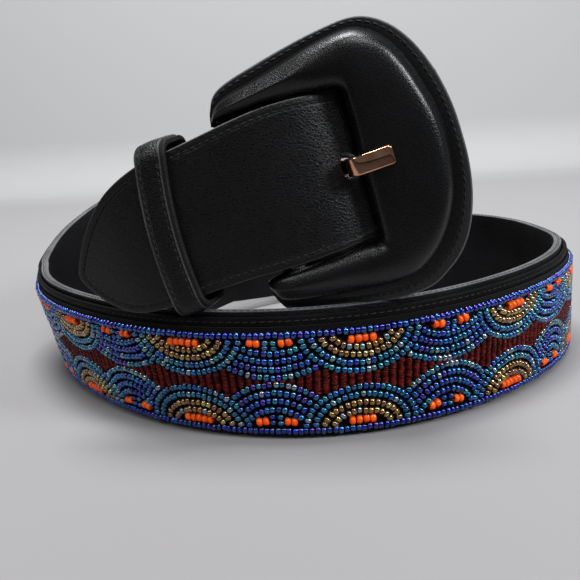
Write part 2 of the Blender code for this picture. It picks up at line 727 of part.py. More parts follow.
def main():
    clear_scene()
    stations = sample_strand()
    total = stations[-1]["run"]
    panel_start = nearest_run(stations, *coil_point(BUCKLE_SIDE[-1])) + BASE_START
    panel_end = nearest_run(stations, *coil_point(CLIMB[11]))
    joint_a = panel_start + BASE_OVERHANG
    joint_b = panel_end - BASE_OVERHANG

    body = trimmed(stations, joint_a + GAP / 2, joint_b - GAP / 2)
    bar_of_stations("body_strap", body, STRAP_EDGE_BEVEL)

    inner = buckle_strap_stations(trimmed(stations, 0.0, joint_a - GAP / 2))
    strap = bar_of_stations("buckle_strap", inner, STRAP_EDGE_BEVEL)
    behind = BAR_ALONG - 0.6 * FOLD_SLOT_LENGTH
    through = (-4 * STRAP_THICKNESS, FOLD_CROWN + STRAP_THICKNESS)
    cut_slot(strap, (behind, behind + FOLD_SLOT_LENGTH), through, "slot_of_fold")

    tongue = trimmed(stations, joint_b + GAP / 2, total)
    billet = bar_of_stations("billet", tongue, STRAP_EDGE_BEVEL)
    cut_slot(billet, [share * BUCKLE_REACH for share in BILLET_SLOT], through, "slot_of_billet")

    near = STRAP_THICKNESS / 2 + GAP
    far = near + BASE_THICKNESS
    base = trimmed(stations, panel_start, panel_end)
    bar_of_stations("panel_base", base, BASE_EDGE_BEVEL, BASE_LOW, BASE_HIGH, near, far)
    beads = trimmed(stations, panel_start + BEAD_END_MARGIN, panel_end - BEAD_END_MARGIN)
    bar_of_stations("bead_panel", beads, BEAD_EDGE_BEVEL, BEAD_LOW, BEAD_HIGH, far + GAP,
                    far + GAP + BEAD_THICKNESS)

    build_frame()
    build_bar()
    build_prong()
    build_keeper()
    stand_on_origin()


main()
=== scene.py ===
import math
import bpy
import numpy as np
from mathutils import Matrix


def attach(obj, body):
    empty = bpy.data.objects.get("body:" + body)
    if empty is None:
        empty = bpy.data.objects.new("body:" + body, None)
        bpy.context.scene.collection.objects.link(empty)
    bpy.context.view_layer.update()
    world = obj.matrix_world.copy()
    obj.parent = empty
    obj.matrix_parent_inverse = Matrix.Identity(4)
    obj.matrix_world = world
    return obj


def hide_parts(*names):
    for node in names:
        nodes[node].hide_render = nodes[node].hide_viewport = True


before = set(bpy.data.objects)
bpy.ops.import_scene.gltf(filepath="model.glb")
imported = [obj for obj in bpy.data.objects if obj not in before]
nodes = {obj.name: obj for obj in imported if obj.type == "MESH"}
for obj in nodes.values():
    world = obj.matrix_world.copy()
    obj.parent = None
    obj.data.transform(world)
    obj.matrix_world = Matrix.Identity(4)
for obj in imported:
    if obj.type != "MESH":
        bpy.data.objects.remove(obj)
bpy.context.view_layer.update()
mm = 0.001
print("frame: %d solids" % len(nodes))

# Camera, floor and light. Lengths here are in metres.
studio = {
    "cameraPlace": (0.00278, -0.27336, 0.09157),
    "cameraDown": 14.094,           # degrees below level
    "cameraLeft": 1.528,            # degrees, turned to the left
    "cameraRoll": 3.439,            # degrees, horizon falls to the left
    "lens": 46.54,
    "floorNear": -2.0,
    "floorHalf": 3.0,
    "floorDrop": 0.0002,            # keeps the floor just below the belt
    "wallPlace": 0.64,              # where the floor meets the wall behind
    "wallBend": 0.06,
    "wallHeight": 3.0,
    "paintedLightStart": -0.3,             # where the ramp of painted shade and light on the cloth starts
    "clothPaintedLight": [                # painted shade and light, by distance to the back: near black in front, lighter up the wall
        (-0.24, (0.03, 0.03, 0.03)), (-0.16, (0.215, 0.208, 0.21)), (0.1, (0.265, 0.258, 0.26)),
        (0.5, (0.33, 0.325, 0.327)), (0.66, (0.45, 0.448, 0.445))],
    "skyColor": (0.93, 0.96, 1.0, 1),
    "skyLight": 0.14,
    "lights": {                     # place, target, size, watts, colour
        "topLight": ((-0.05, 0.0, 1.25), (0, 0.05, 0), (0.60, 0.40), 22.0, (0.97, 0.98, 1.0)),
        "keyLight": ((0.18, -0.60, 0.85), (0, 0, 0.06), (0.30, 0.30), 3.8, (0.98, 0.99, 1.0)),
        "leftLight": ((-0.50, -0.48, 0.60), (0, -0.05, 0.06), (0.24, 0.24), 1.8, (0.97, 0.98, 1.0)),
        "rightLight": ((0.66, -0.44, 0.52), (0, -0.05, 0.08), (0.20, 0.20), 6.0, (0.92, 0.96, 1.0)),
    },
}

scene = bpy.context.scene
scene.view_settings.view_transform = "Standard"


def linkNew(name, data):
    obj = bpy.data.objects.new(name, data)
    scene.collection.objects.link(obj)
    return obj


def unit(v):
    v = np.asarray(v, float)
    return v / np.linalg.norm(v, axis=-1, keepdims=True)


def placeWith(obj, across, up, back, place):
    # the object's own axes; back is against the way that it looks
    rows = [(across[k], up[k], back[k], place[k]) for k in range(3)]
    obj.matrix_world = Matrix(rows + [(0, 0, 0, 1)])


def placeCamera():
    down, left, roll = [math.radians(studio["camera" + way]) for way in ("Down", "Left", "Roll")]
    ahead = np.array([-math.sin(left) * math.cos(down), math.cos(left) * math.cos(down), -math.sin(down)])
    right = np.array([math.cos(left), math.sin(left), 0.0])
    top = np.cross(right, ahead)
    across = math.cos(roll) * right - math.sin(roll) * top
    up = math.sin(roll) * right + math.cos(roll) * top
    camera = bpy.data.cameras.new("camera")
    camera.sensor_width = 36
    camera.lens = studio["lens"]
    camera.clip_start = 0.01
    camera.clip_end = 20
    obj = linkNew("camera", camera)
    placeWith(obj, across, up, -ahead, studio["cameraPlace"])
    scene.camera = obj


def placeLight(name, place, target, size, power, color):
    lamp = bpy.data.lights.new(name, "AREA")
    lamp.shape = "RECTANGLE"
    lamp.size, lamp.size_y = size
    lamp.energy = power
    lamp.color = color
    away = unit(np.array(place) - target)
    side = unit(np.cross([0, 0, 1], away)) if abs(away[2]) < 0.99 else np.array([1.0, 0, 0])
    placeWith(linkNew(name, lamp), side, np.cross(away, side), away, place)


def buildStage():
    # floor and wall in one sheet, with a small curve between them
    wall, bend, half = studio["wallPlace"], studio["wallBend"], studio["floorHalf"]
    line = [(studio["floorNear"], 0.0), (wall - bend, 0.0)]
    for k in range(1, 9):
        angle = math.radians(90 * k / 8)
        line.append((wall - bend + bend * math.sin(angle), bend - bend * math.cos(angle)))
    line.append((wall, studio["wallHeight"]))
    verts = [(x, y, z - studio["floorDrop"]) for y, z in line for x in (-half, half)]
    faces = [(2 * k, 2 * k + 1, 2 * k + 3, 2 * k + 2) for k in range(len(line) - 1)]
    mesh = bpy.data.meshes.new("floor")
    mesh.from_pydata(verts, [], faces)
    mesh.shade_smooth()
    mat, tree, place = newFinish("floorCloth", **{"Roughness": 0.95, "Specular IOR Level": 0.1})
    # The cloth's colour is painted shade and light: near black in front of the camera, lightest on the wall.
    depth = addNode(tree, "ShaderNodeSeparateXYZ", {"Vector": place}).outputs["Y"]
    start = studio["paintedLightStart"]
    share = addMath(tree, "ADD", depth, -start)
    paintedClothLight = addRamp(tree, share, [(y - start, color) for y, color in studio["clothPaintedLight"]])
    mesh.materials.append(fillFinish(mat, {"Base Color": paintedClothLight}))
    floor = linkNew("floor", mesh)


def lightStage():
    world = bpy.data.worlds.new("room")
    world.use_nodes = True
    scene.world = world
    back = world.node_tree.nodes["Background"]
    back.inputs["Color"].default_value = studio["skyColor"]
    back.inputs["Strength"].default_value = studio["skyLight"]
    for name, light in studio["lights"].items():
        placeLight(name, *light)


placeCamera()
lightStage()
print("camera and light: done")

# Route of the strap, as the solids have it. Lengths are in millimetres.
strap = {
    "width": 38.6,
    "thickness": 2.8,
    "foldThickness": 1.6,
    "gap": 0.3,
    "rowStep": 4.45,    # spacing by which the rows are joined
    "finer": 5,         # stations for each of those steps
}

# x, y: shares of length and depth; rise: in strap widths; lean: degrees outward.
coil = {
    "length": 200.0,
    "depth": 175.0,
    "shift": (2.7765, 4.7479, 0.0),     # from the rows' own origin to the footprint's middle
    "inner": [
        (-0.199, -0.43, 1.0101, 1), (-0.219, -0.385, 0.9667, 2), (-0.235, -0.326, 0.8968, 3),
        (-0.25, -0.251, 0.8004, 4), (-0.259, -0.163, 0.6734, 4), (-0.262, -0.069, 0.5336, 4),
        (-0.255, 0.029, 0.3889, 4), (-0.236, 0.126, 0.2432, 4), (-0.205, 0.217, 0.1191, 3),
        (-0.157, 0.297, 0.0315, 3), (-0.087, 0.357, 0, 2)],
    "floor": [
        (0.003, 0.394, 0, 2), (0.102, 0.417, 0, 2), (0.205, 0.409, 0, 1),
        (0.302, 0.366, 0, 0), (0.381, 0.294, 0, -1), (0.434, 0.197, 0, -1.5),
        (0.456, 0.083, 0, -1.5), (0.456, -0.04, 0, -0.8), (0.413, -0.163, 0, 0.7),
        (0.346, -0.267, 0, 2), (0.265, -0.351, 0, 3.2), (0.174, -0.4145, 0, 4.7),
        (0.074, -0.4518, 0, 6.7), (-0.031, -0.457, 0, 8.8), (-0.132, -0.429, 0, 10.5),
        (-0.224, -0.373, 0, 11.7), (-0.304, -0.295, 0, 12.3), (-0.375, -0.199, 0, 12.7)],
    "climb": [
        (-0.423, -0.106, 0, 12.4), (-0.45, -0.014, 0.0364, 11.6), (-0.455, 0.071, 0.1299, 10.2),
        (-0.442, 0.154, 0.254, 8.4), (-0.409, 0.234, 0.3938, 6.6), (-0.357, 0.306, 0.5385, 5),
        (-0.29, 0.369, 0.6891, 4), (-0.207, 0.411, 0.8338, 3), (-0.11, 0.434, 0.9638, 2),
        (-0.01, 0.431, 1.0721, 1), (0.085, 0.394, 1.1764, 0), (0.16, 0.331, 1.2749, 0),
        (0.21, 0.246, 1.3674, 0), (0.235, 0.146, 1.4511, 0), (0.24, 0.043, 1.5131, 0),
        (0.23, -0.06, 1.5495, 0), (0.212, -0.16, 1.5702, 0), (0.193, -0.251, 1.5751, 0),
        (0.169, -0.331, 1.5623, 0), (0.141, -0.397, 1.5367, 0)],
}

# The buckle's own axes: along the strap to the right, up across it, depth out to the front.
buckle = {
    "middle": (-0.0958, -0.4812, 1.6952),    # shares, as in the coil's rows
    "slope": 16.4,
    "turn": 2.0,
    "reach": 61.9,
    "tip": 47.0,
    "foldCrown": 0.9,
    "foldLength": 22.5,
    "barRadius": 1.6,
    "barAlong": 8.0,
    "foldSteps": 6,
    "turnSteps": 40,    # round the bar
    # along the reach or the tip, seat in thicknesses, reach below and above the middle
    "tongueRoot": [
        (0.582, -1.857, 0.985, 0.97), (0.485, -0.821, 1, 1.028), (0.388, -0.036, 1, 1.078),
        (0.258, 0.357, 1, 1.108), (0.129, 0.429, 0.99, 1.088), (0, 0.25, 0.97, 1.05)],
    "tongueTip": [
        (0.213, 0, 0.97, 1), (0.383, -0.071, 0.985, 0.974), (0.489, -0.321, 0.995, 0.902),
        (0.596, -0.75, 1, 0.813), (0.681, -1.214, 0.99, 0.7), (0.766, -1.786, 0.935, 0.544),
        (0.851, -2.429, 0.815, 0.347), (0.926, -3.036, 0.64, 0.145), (0.979, -3.5, 0.461, -0.041),
        (1, -3.679, 0.352, -0.145)],
    # behind the bar in fold lengths, outer face and thickness in thicknesses
    "foldReturn": [
        (1, -1.393), (0.578, -1.393), (0.267, -1.5)],
    "foldStart": [
        (0.222, 0.196, 0.607), (0.467, -0.071, 0.786), (0.756, -0.179, 1),
        (1.067, -0.286, 1), (1.356, -0.571, 1)],
}


turnAngle, slopeAngle = math.radians(buckle["turn"]), math.radians(buckle["slope"])
upward = np.array([0.0, 0.0, 1.0])
levelAxis = np.array([math.cos(turnAngle), -math.sin(turnAngle), 0.0])
faceAxis = np.cross(levelAxis, upward)
alongAxis = levelAxis * math.cos(slopeAngle) + upward * math.sin(slopeAngle)
upAxis = -levelAxis * math.sin(slopeAngle) + upward * math.cos(slopeAngle)


def onCoil(x, y, rise):
    place = np.array([x * coil["length"], y * coil["depth"], rise * strap["width"]])
    return place + np.array(coil["shift"])


buckleMiddle = onCoil(*buckle["middle"])
barDepth = buckle["foldCrown"] - strap["foldThickness"] - strap["gap"] - buckle["barRadius"]


def inBuckle(along, up, depth):
    along, up, depth = np.broadcast_arrays(*[np.asarray(v, float) for v in (along, up, depth)])
    return (buckleMiddle + along[..., None] * alongAxis + up[..., None] * upAxis
            + depth[..., None] * faceAxis)


def smoothRows(points, counts):
    # a smooth curve through the rows, with counts[i] steps after row i
    pts = np.asarray(points, float)
    ext = np.concatenate([[2 * pts[0] - pts[1]], pts, [2 * pts[-1] - pts[-2]]])
    out = []
    for i, count in enumerate(counts):
        p0, p1, p2, p3 = ext[i:i + 4]
        for t in np.arange(count) / count:
            out.append(0.5 * (2 * p1 + (p2 - p0) * t + (2 * p0 - 5 * p1 + 4 * p2 - p3) * t * t
                              + (3 * p1 - p0 - 3 * p2 + p3) * t ** 3))
    out.append(pts[-1])
    return np.array(out)


def steadyRows(values, spacing, counts):
    # one column without overshoot, so that level stretches stay level
    v = np.asarray(values, float)
    h = np.asarray(spacing, float)
    d = np.diff(v) / h
    m = np.zeros(len(v))
    m[0], m[-1] = d[0], d[-1]
    for i in range(1, len(v) - 1):
        if d[i - 1] * d[i] > 0:
            w1 = 2 * h[i] + h[i - 1]
            w2 = h[i] + 2 * h[i - 1]
            m[i] = (w1 + w2) / (w1 / d[i - 1] + w2 / d[i])
    out = []
    for i, count in enumerate(counts):
        for t in np.arange(count) / count:
            out.append((1 + 2 * t) * (1 - t) ** 2 * v[i] + t * (1 - t) ** 2 * h[i] * m[i]
                       + t * t * (3 - 2 * t) * v[i + 1] + t * t * (t - 1) * h[i] * m[i + 1])
    out.append(v[-1])
    return np.array(out)


def lengthsAlong(points):
    return np.concatenate([[0], np.cumsum(np.linalg.norm(np.diff(points, axis=0), axis=1))])


def roundBar(radius, start, sweep, steps):
    # an arc round the bar, as (along, depth)
    angles = np.radians(start + sweep * np.arange(steps + 1) / steps)
    return np.stack([buckle["barAlong"] + radius * np.cos(angles), barDepth + radius * np.sin(angles)], 1)


def buildRoute():
    half = strap["width"] / 2
    thick = strap["thickness"]
    places, lean, hold, thicks, low, high = [], [], [], [], [], []

    def add(place, leans, holds, thickness, lowEdge, highEdge):
        for column, value in zip((places, lean, hold, thicks, low, high),
                                 (place, leans, holds, thickness, lowEdge, highEdge)):
            column.append(value)

    for back, face, share in buckle["foldStart"]:
        along = buckle["barAlong"] - back * buckle["foldLength"]
        add(inBuckle(along, -half, face * thick - share * thick / 2), 0, 1, share * thick, 0, 2 * half)
    for x, y, rise, leans in coil["inner"] + coil["floor"] + coil["climb"]:
        add(onCoil(x, y, rise), leans, 0, thick, 0, 2 * half)
    tongue = [(along * buckle["reach"], *rest) for along, *rest in buckle["tongueRoot"]]
    tongue += [(-back * buckle["tip"], *rest) for back, *rest in buckle["tongueTip"]]
    for along, seat, below, above in tongue:
        add(inBuckle(along, -half, (seat + 0.5) * thick), 0, 1, thick,
            (1 - below) * half, (1 + above) * half)

    places = np.array(places)
    spacing = np.linalg.norm(np.diff(places, axis=0), axis=1)
    counts = [max(1, round(s / strap["rowStep"])) * strap["finer"] for s in spacing]
    pos = smoothRows(places, counts)
    lean, hold, thicks, low, high = [
        steadyRows(column, spacing, counts) for column in (lean, hold, thicks, low, high)]
    pos[:, 2] += (steadyRows(places[:, 2], spacing, counts) - pos[:, 2]) * (1 - hold)
    tangent = unit(np.gradient(pos, axis=0))
    level = unit(tangent * [1, 1, 0])
    outward = np.stack([-level[:, 1], level[:, 0], 0 * level[:, 0]], 1)
    lean = np.radians(lean)[:, None]
    hold = hold[:, None]
    width = unit((outward * np.sin(lean) + upward * np.cos(lean)) * (1 - hold) + upAxis * hold)
    width = unit(width - tangent * np.sum(width * tangent, 1, keepdims=True))
    face = unit(outward * (1 - hold) + np.cross(width, tangent) * hold)
    rowRuns = lengthsAlong(pos)[np.concatenate([[0], np.cumsum(counts)])]

    # the fold goes before: the layer behind, then the turn round the bar
    radius = buckle["barRadius"] + strap["gap"] + strap["foldThickness"] / 2
    lead = [(buckle["barAlong"] - back * buckle["foldLength"], outer * thick - strap["foldThickness"] / 2)
            for back, outer in buckle["foldReturn"]]
    line = np.concatenate([smoothRows(lead, [buckle["foldSteps"]] * (len(lead) - 1)),
                           roundBar(radius, -90, 180, buckle["turnSteps"])])
    foldPos = inBuckle(line[:, 0], -half, line[:, 1])
    foldTangent = unit(np.gradient(np.concatenate([foldPos, pos[:1]]), axis=0))[:-1]
    foldWidth = np.tile(upAxis, (len(line), 1))
    n = len(line)
    allPos = np.concatenate([foldPos, pos])
    run = lengthsAlong(allPos)
    return {
        "run": run - run[n], "pos": allPos, "width": np.concatenate([foldWidth, width]),
        "face": np.concatenate([np.cross(foldWidth, foldTangent), face]),
        "thick": np.concatenate([np.full(n, strap["foldThickness"]), thicks]),
        "low": np.concatenate([np.zeros(n), low]), "high": np.concatenate([np.full(n, 2 * half), high]),
        "rows": rowRuns,
    }


route = buildRoute()


def columnsAt(wanted, places, rows):
    # every column of the rows, read at places between them
    return np.stack([np.interp(wanted, places, column) for column in rows.T], -1)


def routeValue(name, run):
    column = route[name]
    return (np.interp if column.ndim == 1 else columnsAt)(run, route["run"], column)


def onStrap(run, across, out):
    # the point at a length along the strap, a height across it and a depth out of its middle
    run, across, out = np.broadcast_arrays(*[np.asarray(v, float) for v in (run, across, out)])
    beyond = np.maximum(run - route["run"][-1], 0)[..., None] * unit(route["pos"][-1] - route["pos"][-2])
    return (routeValue("pos", run) + beyond + unit(routeValue("width", run)) * across[..., None]
            + unit(routeValue("face", run)) * out[..., None])


panel = {
    "baseStart": 6.0,       # past the last row of the inner turn
    "climbRows": 12,        # rows of the climb that the strip covers
    "baseThickness": 1.4,
    "baseLow": 0.7,
    "baseHigh": 37.1,
    "overhang": 8.0,        # how far the strip runs past the strap's joints
    "endMargin": 2.0,       # from the strip's ends to the felt
}
rowsBefore = len(buckle["foldStart"]) + len(coil["inner"]) - 1
panel["start"] = route["rows"][rowsBefore] + panel["baseStart"]
panel["end"] = route["rows"][rowsBefore + len(coil["floor"]) + panel["climbRows"]]
panel["near"] = strap["thickness"] / 2 + strap["gap"]
panel["far"] = panel["near"] + panel["baseThickness"]
strapEnd = route["run"][-1]
print("route: %.0f mm of strap, panel from %.0f to %.0f mm" % (strapEnd, panel["start"], panel["end"]))


# Shared ways to make meshes.
def makeMesh(name, points, faceSets, finish, floats=None, sharp=40.0):
    # points in millimetres, faceSets arrays of triangles or quads, floats one value a point
    points = np.asarray(points, float).reshape(-1, 3)
    faceSets = [np.asarray(f, int) for f in faceSets if len(f)]
    volume = sum(np.sum(points[f[:, 0]] * np.cross(points[f[:, k]], points[f[:, k + 1]]))
                 for f in faceSets for k in range(1, f.shape[1] - 1))
    if volume < 0:
        faceSets = [f[:, ::-1] for f in faceSets]
    mesh = bpy.data.meshes.new(name)
    mesh.vertices.add(len(points))
    mesh.vertices.foreach_set("co", (points * mm).ravel())
    sizes = np.concatenate([np.full(len(f), f.shape[1]) for f in faceSets])
    corners = np.concatenate([f.ravel() for f in faceSets])
    mesh.loops.add(len(corners))
    mesh.loops.foreach_set("vertex_index", corners)
    mesh.polygons.add(len(sizes))
    mesh.polygons.foreach_set("loop_start", np.concatenate([[0], np.cumsum(sizes)[:-1]]))
    mesh.update(calc_edges=True)
    mesh.validate()
    for key, values in (floats or {}).items():
        layer = mesh.attributes.new(key, "FLOAT", "POINT")
        layer.data.foreach_set("value", np.asarray(values, np.float32).ravel())
    mesh.shade_smooth()
    if sharp:
        mesh.set_sharp_from_angle(angle=math.radians(sharp))
    mesh.materials.append(finish)
    return linkNew(name, mesh)


def addPiece(obj, slot, *stands):
    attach(obj, "root")
    if stands:
        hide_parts(*stands)
    return obj


def tubeFaces(rings, size, closed=False):
    # quads between rings of points, each ring closed on itself
    here = np.arange(rings if closed else rings - 1)[:, None] * size
    ahead = (here + size) % (rings * size)
    j = np.arange(size)[None]
    after = (j + 1) % size
    return np.stack([here + j, here + after, ahead + after, ahead + j], -1).reshape(-1, 4)


def capFaces(first, size, flip=False):
    # an end cap of a ring as a strip of quads and triangles across it
    tri = []
    lo, hi = 0, size - 1
    while hi - lo > 1:
        tri.append((first + lo, first + lo + 1, first + hi))
        if hi - lo > 2:
            tri.append((first + lo + 1, first + hi - 1, first + hi))
        lo, hi = lo + 1, hi - 1
    tri = np.array(tri)
    return tri[:, ::-1] if flip else tri


def endCaps(rings, size):
    return np.concatenate([capFaces(0, size, True), capFaces((rings - 1) * size, size)])


def repeatFaces(faces, count, step):
    # the same faces for each of many copies, their points one step apart
    return (faces[None] + (np.arange(count) * step)[:, None, None]).reshape(-1, faces.shape[1])


def ringAngles(sides):
    return 2 * math.pi * np.arange(sides) / sides


# Stitches: short lengths of thread, lying along a line on the strap or the buckle.
thread = {
    "sides": 6,
    # share of the length, share of the radius
    "profile": [(0.0, 0.35), (0.12, 0.85), (0.5, 1.0), (0.88, 0.85), (1.0, 0.35)],
}


def stitchRow(line, normals, pitch, fill, sink=0.0, slant=0.0):
    # starts and ends of stitches at an even spacing along a line
    run = lengthsAlong(line)
    count = int(run[-1] // pitch)
    begin = (np.arange(count) + 0.5 * (1 - fill)) * run[-1] / count
    finish = begin + fill * run[-1] / count
    normal = unit(columnsAt((begin + finish) / 2, run, normals))
    starts, ends = columnsAt(begin, run, line), columnsAt(finish, run, line)
    side = np.cross(unit(ends - starts), normal) * slant
    return starts - normal * sink + side, ends - normal * sink - side


def addStitches(name, rows, radius, slot):
    starts, ends = [np.concatenate(part) for part in zip(*rows)]
    axis = unit(ends - starts)
    side = unit(np.cross(axis, np.where(np.abs(axis[:, 2:]) < 0.8, [[0, 0, 1.0]], [[1.0, 0, 0]])))
    other = np.cross(axis, side)
    angles = ringAngles(thread["sides"])[None, :, None]
    around = side[:, None] * np.cos(angles) + other[:, None] * np.sin(angles)
    points = np.stack([(starts + (ends - starts) * share)[:, None] + radius * width * around
                       for share, width in thread["profile"]], 1)
    size = points.shape[1:3]
    faceSets = [repeatFaces(faces, len(starts), size[0] * size[1])
                for faces in (tubeFaces(*size), endCaps(*size))]
    addPiece(makeMesh(name, points, faceSets, waxedThread, sharp=None), slot)


# Finishes. Distances are in metres, since they follow the object's own coordinates.
def addNode(tree, kind, inputs=None, **settings):
    node = tree.nodes.new(kind)
    for key, value in settings.items():
        setattr(node, key, value)
    for key, value in (inputs or {}).items():
        if isinstance(value, bpy.types.NodeSocket):
            tree.links.new(value, node.inputs[key])
        else:
            node.inputs[key].default_value = value
    return node


def addNoise(tree, place, scale, detail, **more):
    inputs = {"Vector": place, "Scale": scale, "Detail": detail, **more}
    return addNode(tree, "ShaderNodeTexNoise", inputs).outputs["Fac"]


def addMath(tree, operation, *values):
    return addNode(tree, "ShaderNodeMath", dict(enumerate(values)), operation=operation).outputs[0]


def readAttribute(tree, name):
    return addNode(tree, "ShaderNodeAttribute", attribute_name=name).outputs["Fac"]


def addRamp(tree, factor, stops):
    ramp = addNode(tree, "ShaderNodeValToRGB", {"Fac": factor})
    elements = ramp.color_ramp.elements
    while len(elements) < len(stops):
        elements.new(0.5)
    for element, (place, color) in zip(elements, stops):
        element.position = place
        element.color = (*color, 1)
    return ramp.outputs["Color"]


def greyStops(*stops):
    return [(place, (value, value, value)) for place, value in stops]


def newFinish(name, **values):
    mat = bpy.data.materials.new(name)
    mat.use_nodes = True
    tree = mat.node_tree
    for key, value in values.items():
        tree.nodes["Principled BSDF"].inputs[key].default_value = value
    return mat, tree, addNode(tree, "ShaderNodeTexCoord").outputs["Object"]


def fillFinish(mat, sockets, layers=()):
    # layers of (height socket, depth in metres, strength), from coarse to fine
    tree = mat.node_tree
    normal = {}
    for height, depth, strength in layers:
        inputs = {"Height": height, "Distance": depth, "Strength": strength, **normal}
        normal = {"Normal": addNode(tree, "ShaderNodeBump", inputs).outputs["Normal"]}
    for key, socket in {**sockets, **normal}.items():
        tree.links.new(socket, tree.nodes["Principled BSDF"].inputs[key])
    return mat


def mixColor(tree, factor, first, second):
    return addNode(tree, "ShaderNodeMix", {0: factor, 6: first, 7: second}, data_type="RGBA").outputs[2]


leather = {
    "creases": 0.42,            # their scale against the grain's
    "pores": 3200.0,
    "patches": 90.0,
    "rawRough": (0.85, 0.85, 0.85, 1),
    "fibres": 0.0003,
}


def leatherFinish(name, look):
    mat, tree, place = newFinish(name, **{"Specular IOR Level": look["shine"]})
    wearAndSheen, raw = readAttribute(tree, "wearAndSheen"), readAttribute(tree, "raw")
    cells = addNode(tree, "ShaderNodeTexVoronoi", {"Vector": place, "Scale": 1 / look["grain"]},
                    feature="DISTANCE_TO_EDGE").outputs["Distance"]
    domes = addRamp(tree, cells, greyStops((0.0, 0), (0.12, 0.6), (0.35, 1)))
    creases = addNoise(tree, place, leather["creases"] / look["grain"], 5.0, Roughness=0.6, Distortion=0.8)
    pores = addNoise(tree, place, leather["pores"], 3.0, Roughness=0.7)
    patches = addNoise(tree, place, leather["patches"], 4.0)
    # The lighter edge colours serve for worn leather and for painted sheen on edges and creases.
    color, wornAndSheen = [addRamp(tree, patches, [(0.3, look[first]), (0.7, look[second])])
                   for first, second in (("dark", "light"), ("wornAndSheen", "bareAndSheen"))]
    # The edge mask lightens worn edges and paints sheen along rims and beside stitch grooves.
    edge = addRamp(tree, addMath(tree, "MULTIPLY", wearAndSheen, pores), greyStops((0.12, 0), (0.62, 1)))
    rough = addRamp(tree, cells, greyStops((0.0, look["rough"]), (0.3, look["smooth"])))
    fibres = addMath(tree, "MULTIPLY", raw, pores)
    return fillFinish(mat, {
        "Base Color": mixColor(tree, edge, color, wornAndSheen),
        "Roughness": mixColor(tree, raw, rough, leather["rawRough"]),
    }, [(creases, look["wrinkle"], 1.0), (domes, look["pebble"], 1.0), (pores, look["pore"], 1.0),
        (fibres, leather["fibres"], 1.0)])


def fibreFinish(name, look):
    mat, tree, place = newFinish(name, **{"Specular IOR Level": look["shine"], "Sheen Weight": look["sheen"]})
    fuzz = addNoise(tree, place, look["scale"], look["detail"], Roughness=look["crisp"])
    color, rough = addRamp(tree, fuzz, look["colors"]), addRamp(tree, fuzz, greyStops(*look["dull"]))
    return fillFinish(mat, {"Base Color": color, "Roughness": rough}, [(fuzz, look["nap"], 1.0)])


metal = {
    "clouds": 220.0,
    "brushed": (400.0, 4000.0, 4000.0),
    "scratch": 0.000004,
}


def metalFinish(name, look):
    mat, tree, place = newFinish(name, Metallic=1.0)
    cloud = addNoise(tree, place, metal["clouds"], 4.0)
    brushed = addNode(tree, "ShaderNodeMapping", {"Vector": place, "Scale": metal["brushed"]}).outputs[0]
    scratch = addNoise(tree, brushed, 1.0, 3.0)
    color = addRamp(tree, cloud, [(0.3, look["deep"]), (0.65, look["bright"])])
    rough = addRamp(tree, scratch, greyStops((0.3, look["smooth"]), (0.75, look["rough"])))
    return fillFinish(mat, {"Base Color": color, "Roughness": rough}, [
        (cloud, look["dent"], 0.5), (scratch, metal["scratch"], 0.5)])


buildStage()
leatherLooks = {
    "strap": {
        "dark": (0.003, 0.003, 0.004), "light": (0.006, 0.006, 0.007),
        "wornAndSheen": (0.09, 0.09, 0.093), "bareAndSheen": (0.17, 0.17, 0.17), "grain": 0.0008, "wrinkle": 0.00006,
        "pebble": 0.00012, "pore": 0.00002, "smooth": 0.28, "rough": 0.55, "shine": 0.13},
    "tongue": {
        "dark": (0.0012, 0.0012, 0.0015), "light": (0.0028, 0.0028, 0.0033),
        "wornAndSheen": (0.11, 0.107, 0.10), "bareAndSheen": (0.26, 0.25, 0.22), "grain": 0.0007, "wrinkle": 0.00014,
        "pebble": 0.00005, "pore": 0.000012, "smooth": 0.27, "rough": 0.42, "shine": 0.28},
    "buckle": {
        "dark": (0.0011, 0.0011, 0.0013), "light": (0.0024, 0.0024, 0.0028),
        "wornAndSheen": (0.05, 0.05, 0.054), "bareAndSheen": (0.12, 0.12, 0.125), "grain": 0.0006, "wrinkle": 0.00006,
        "pebble": 0.00002, "pore": 0.000006, "smooth": 0.22, "rough": 0.34, "shine": 0.36},
    # Painted shade: the panel strip's leather is the strap leather made darker and duller, for the shade it
    # lies in.
    "panel": {
        "dark": (0.002, 0.002, 0.002), "light": (0.004, 0.004, 0.004),
        "wornAndSheen": (0.012, 0.012, 0.012), "bareAndSheen": (0.03, 0.03, 0.03), "grain": 0.0008, "wrinkle": 0.00008,
        "pebble": 0.00012, "pore": 0.00002, "smooth": 0.4, "rough": 0.7, "shine": 0.07},
}
threadLook = {
    "colors": [(0.3, (0.002, 0.002, 0.002)), (0.7, (0.007, 0.007, 0.008))],
    "dull": [(0.3, 0.45), (0.7, 0.7)],
    "shine": 0.3, "sheen": 0.0, "scale": 2500.0, "detail": 2.0, "crisp": 0.5, "nap": 0.00008,
}
feltLook = {
    "colors": [(0.35, (0.0015, 0.0015, 0.0015)), (0.7, (0.006, 0.0055, 0.0055))],
    "dull": [(0.3, 0.85), (0.7, 1.0)],
    "shine": 0.08, "sheen": 0.05, "scale": 1800.0, "detail": 5.0, "crisp": 0.7, "nap": 0.0003,
}
barLook = {
    "deep": (0.010, 0.010, 0.011), "bright": (0.035, 0.034, 0.034),
    "smooth": 0.3, "rough": 0.5, "dent": 0.00005,
}
prongLook = {
    "deep": (0.42, 0.17, 0.08), "bright": (0.78, 0.43, 0.29),
    "smooth": 0.03, "rough": 0.08, "dent": 0.00003,
}
leathers = {name: leatherFinish(name + "Leather", look) for name, look in leatherLooks.items()}
waxedThread = fibreFinish("waxedThread", threadLook)
blackFelt = fibreFinish("blackFelt", feltLook)
print("finishes: done")


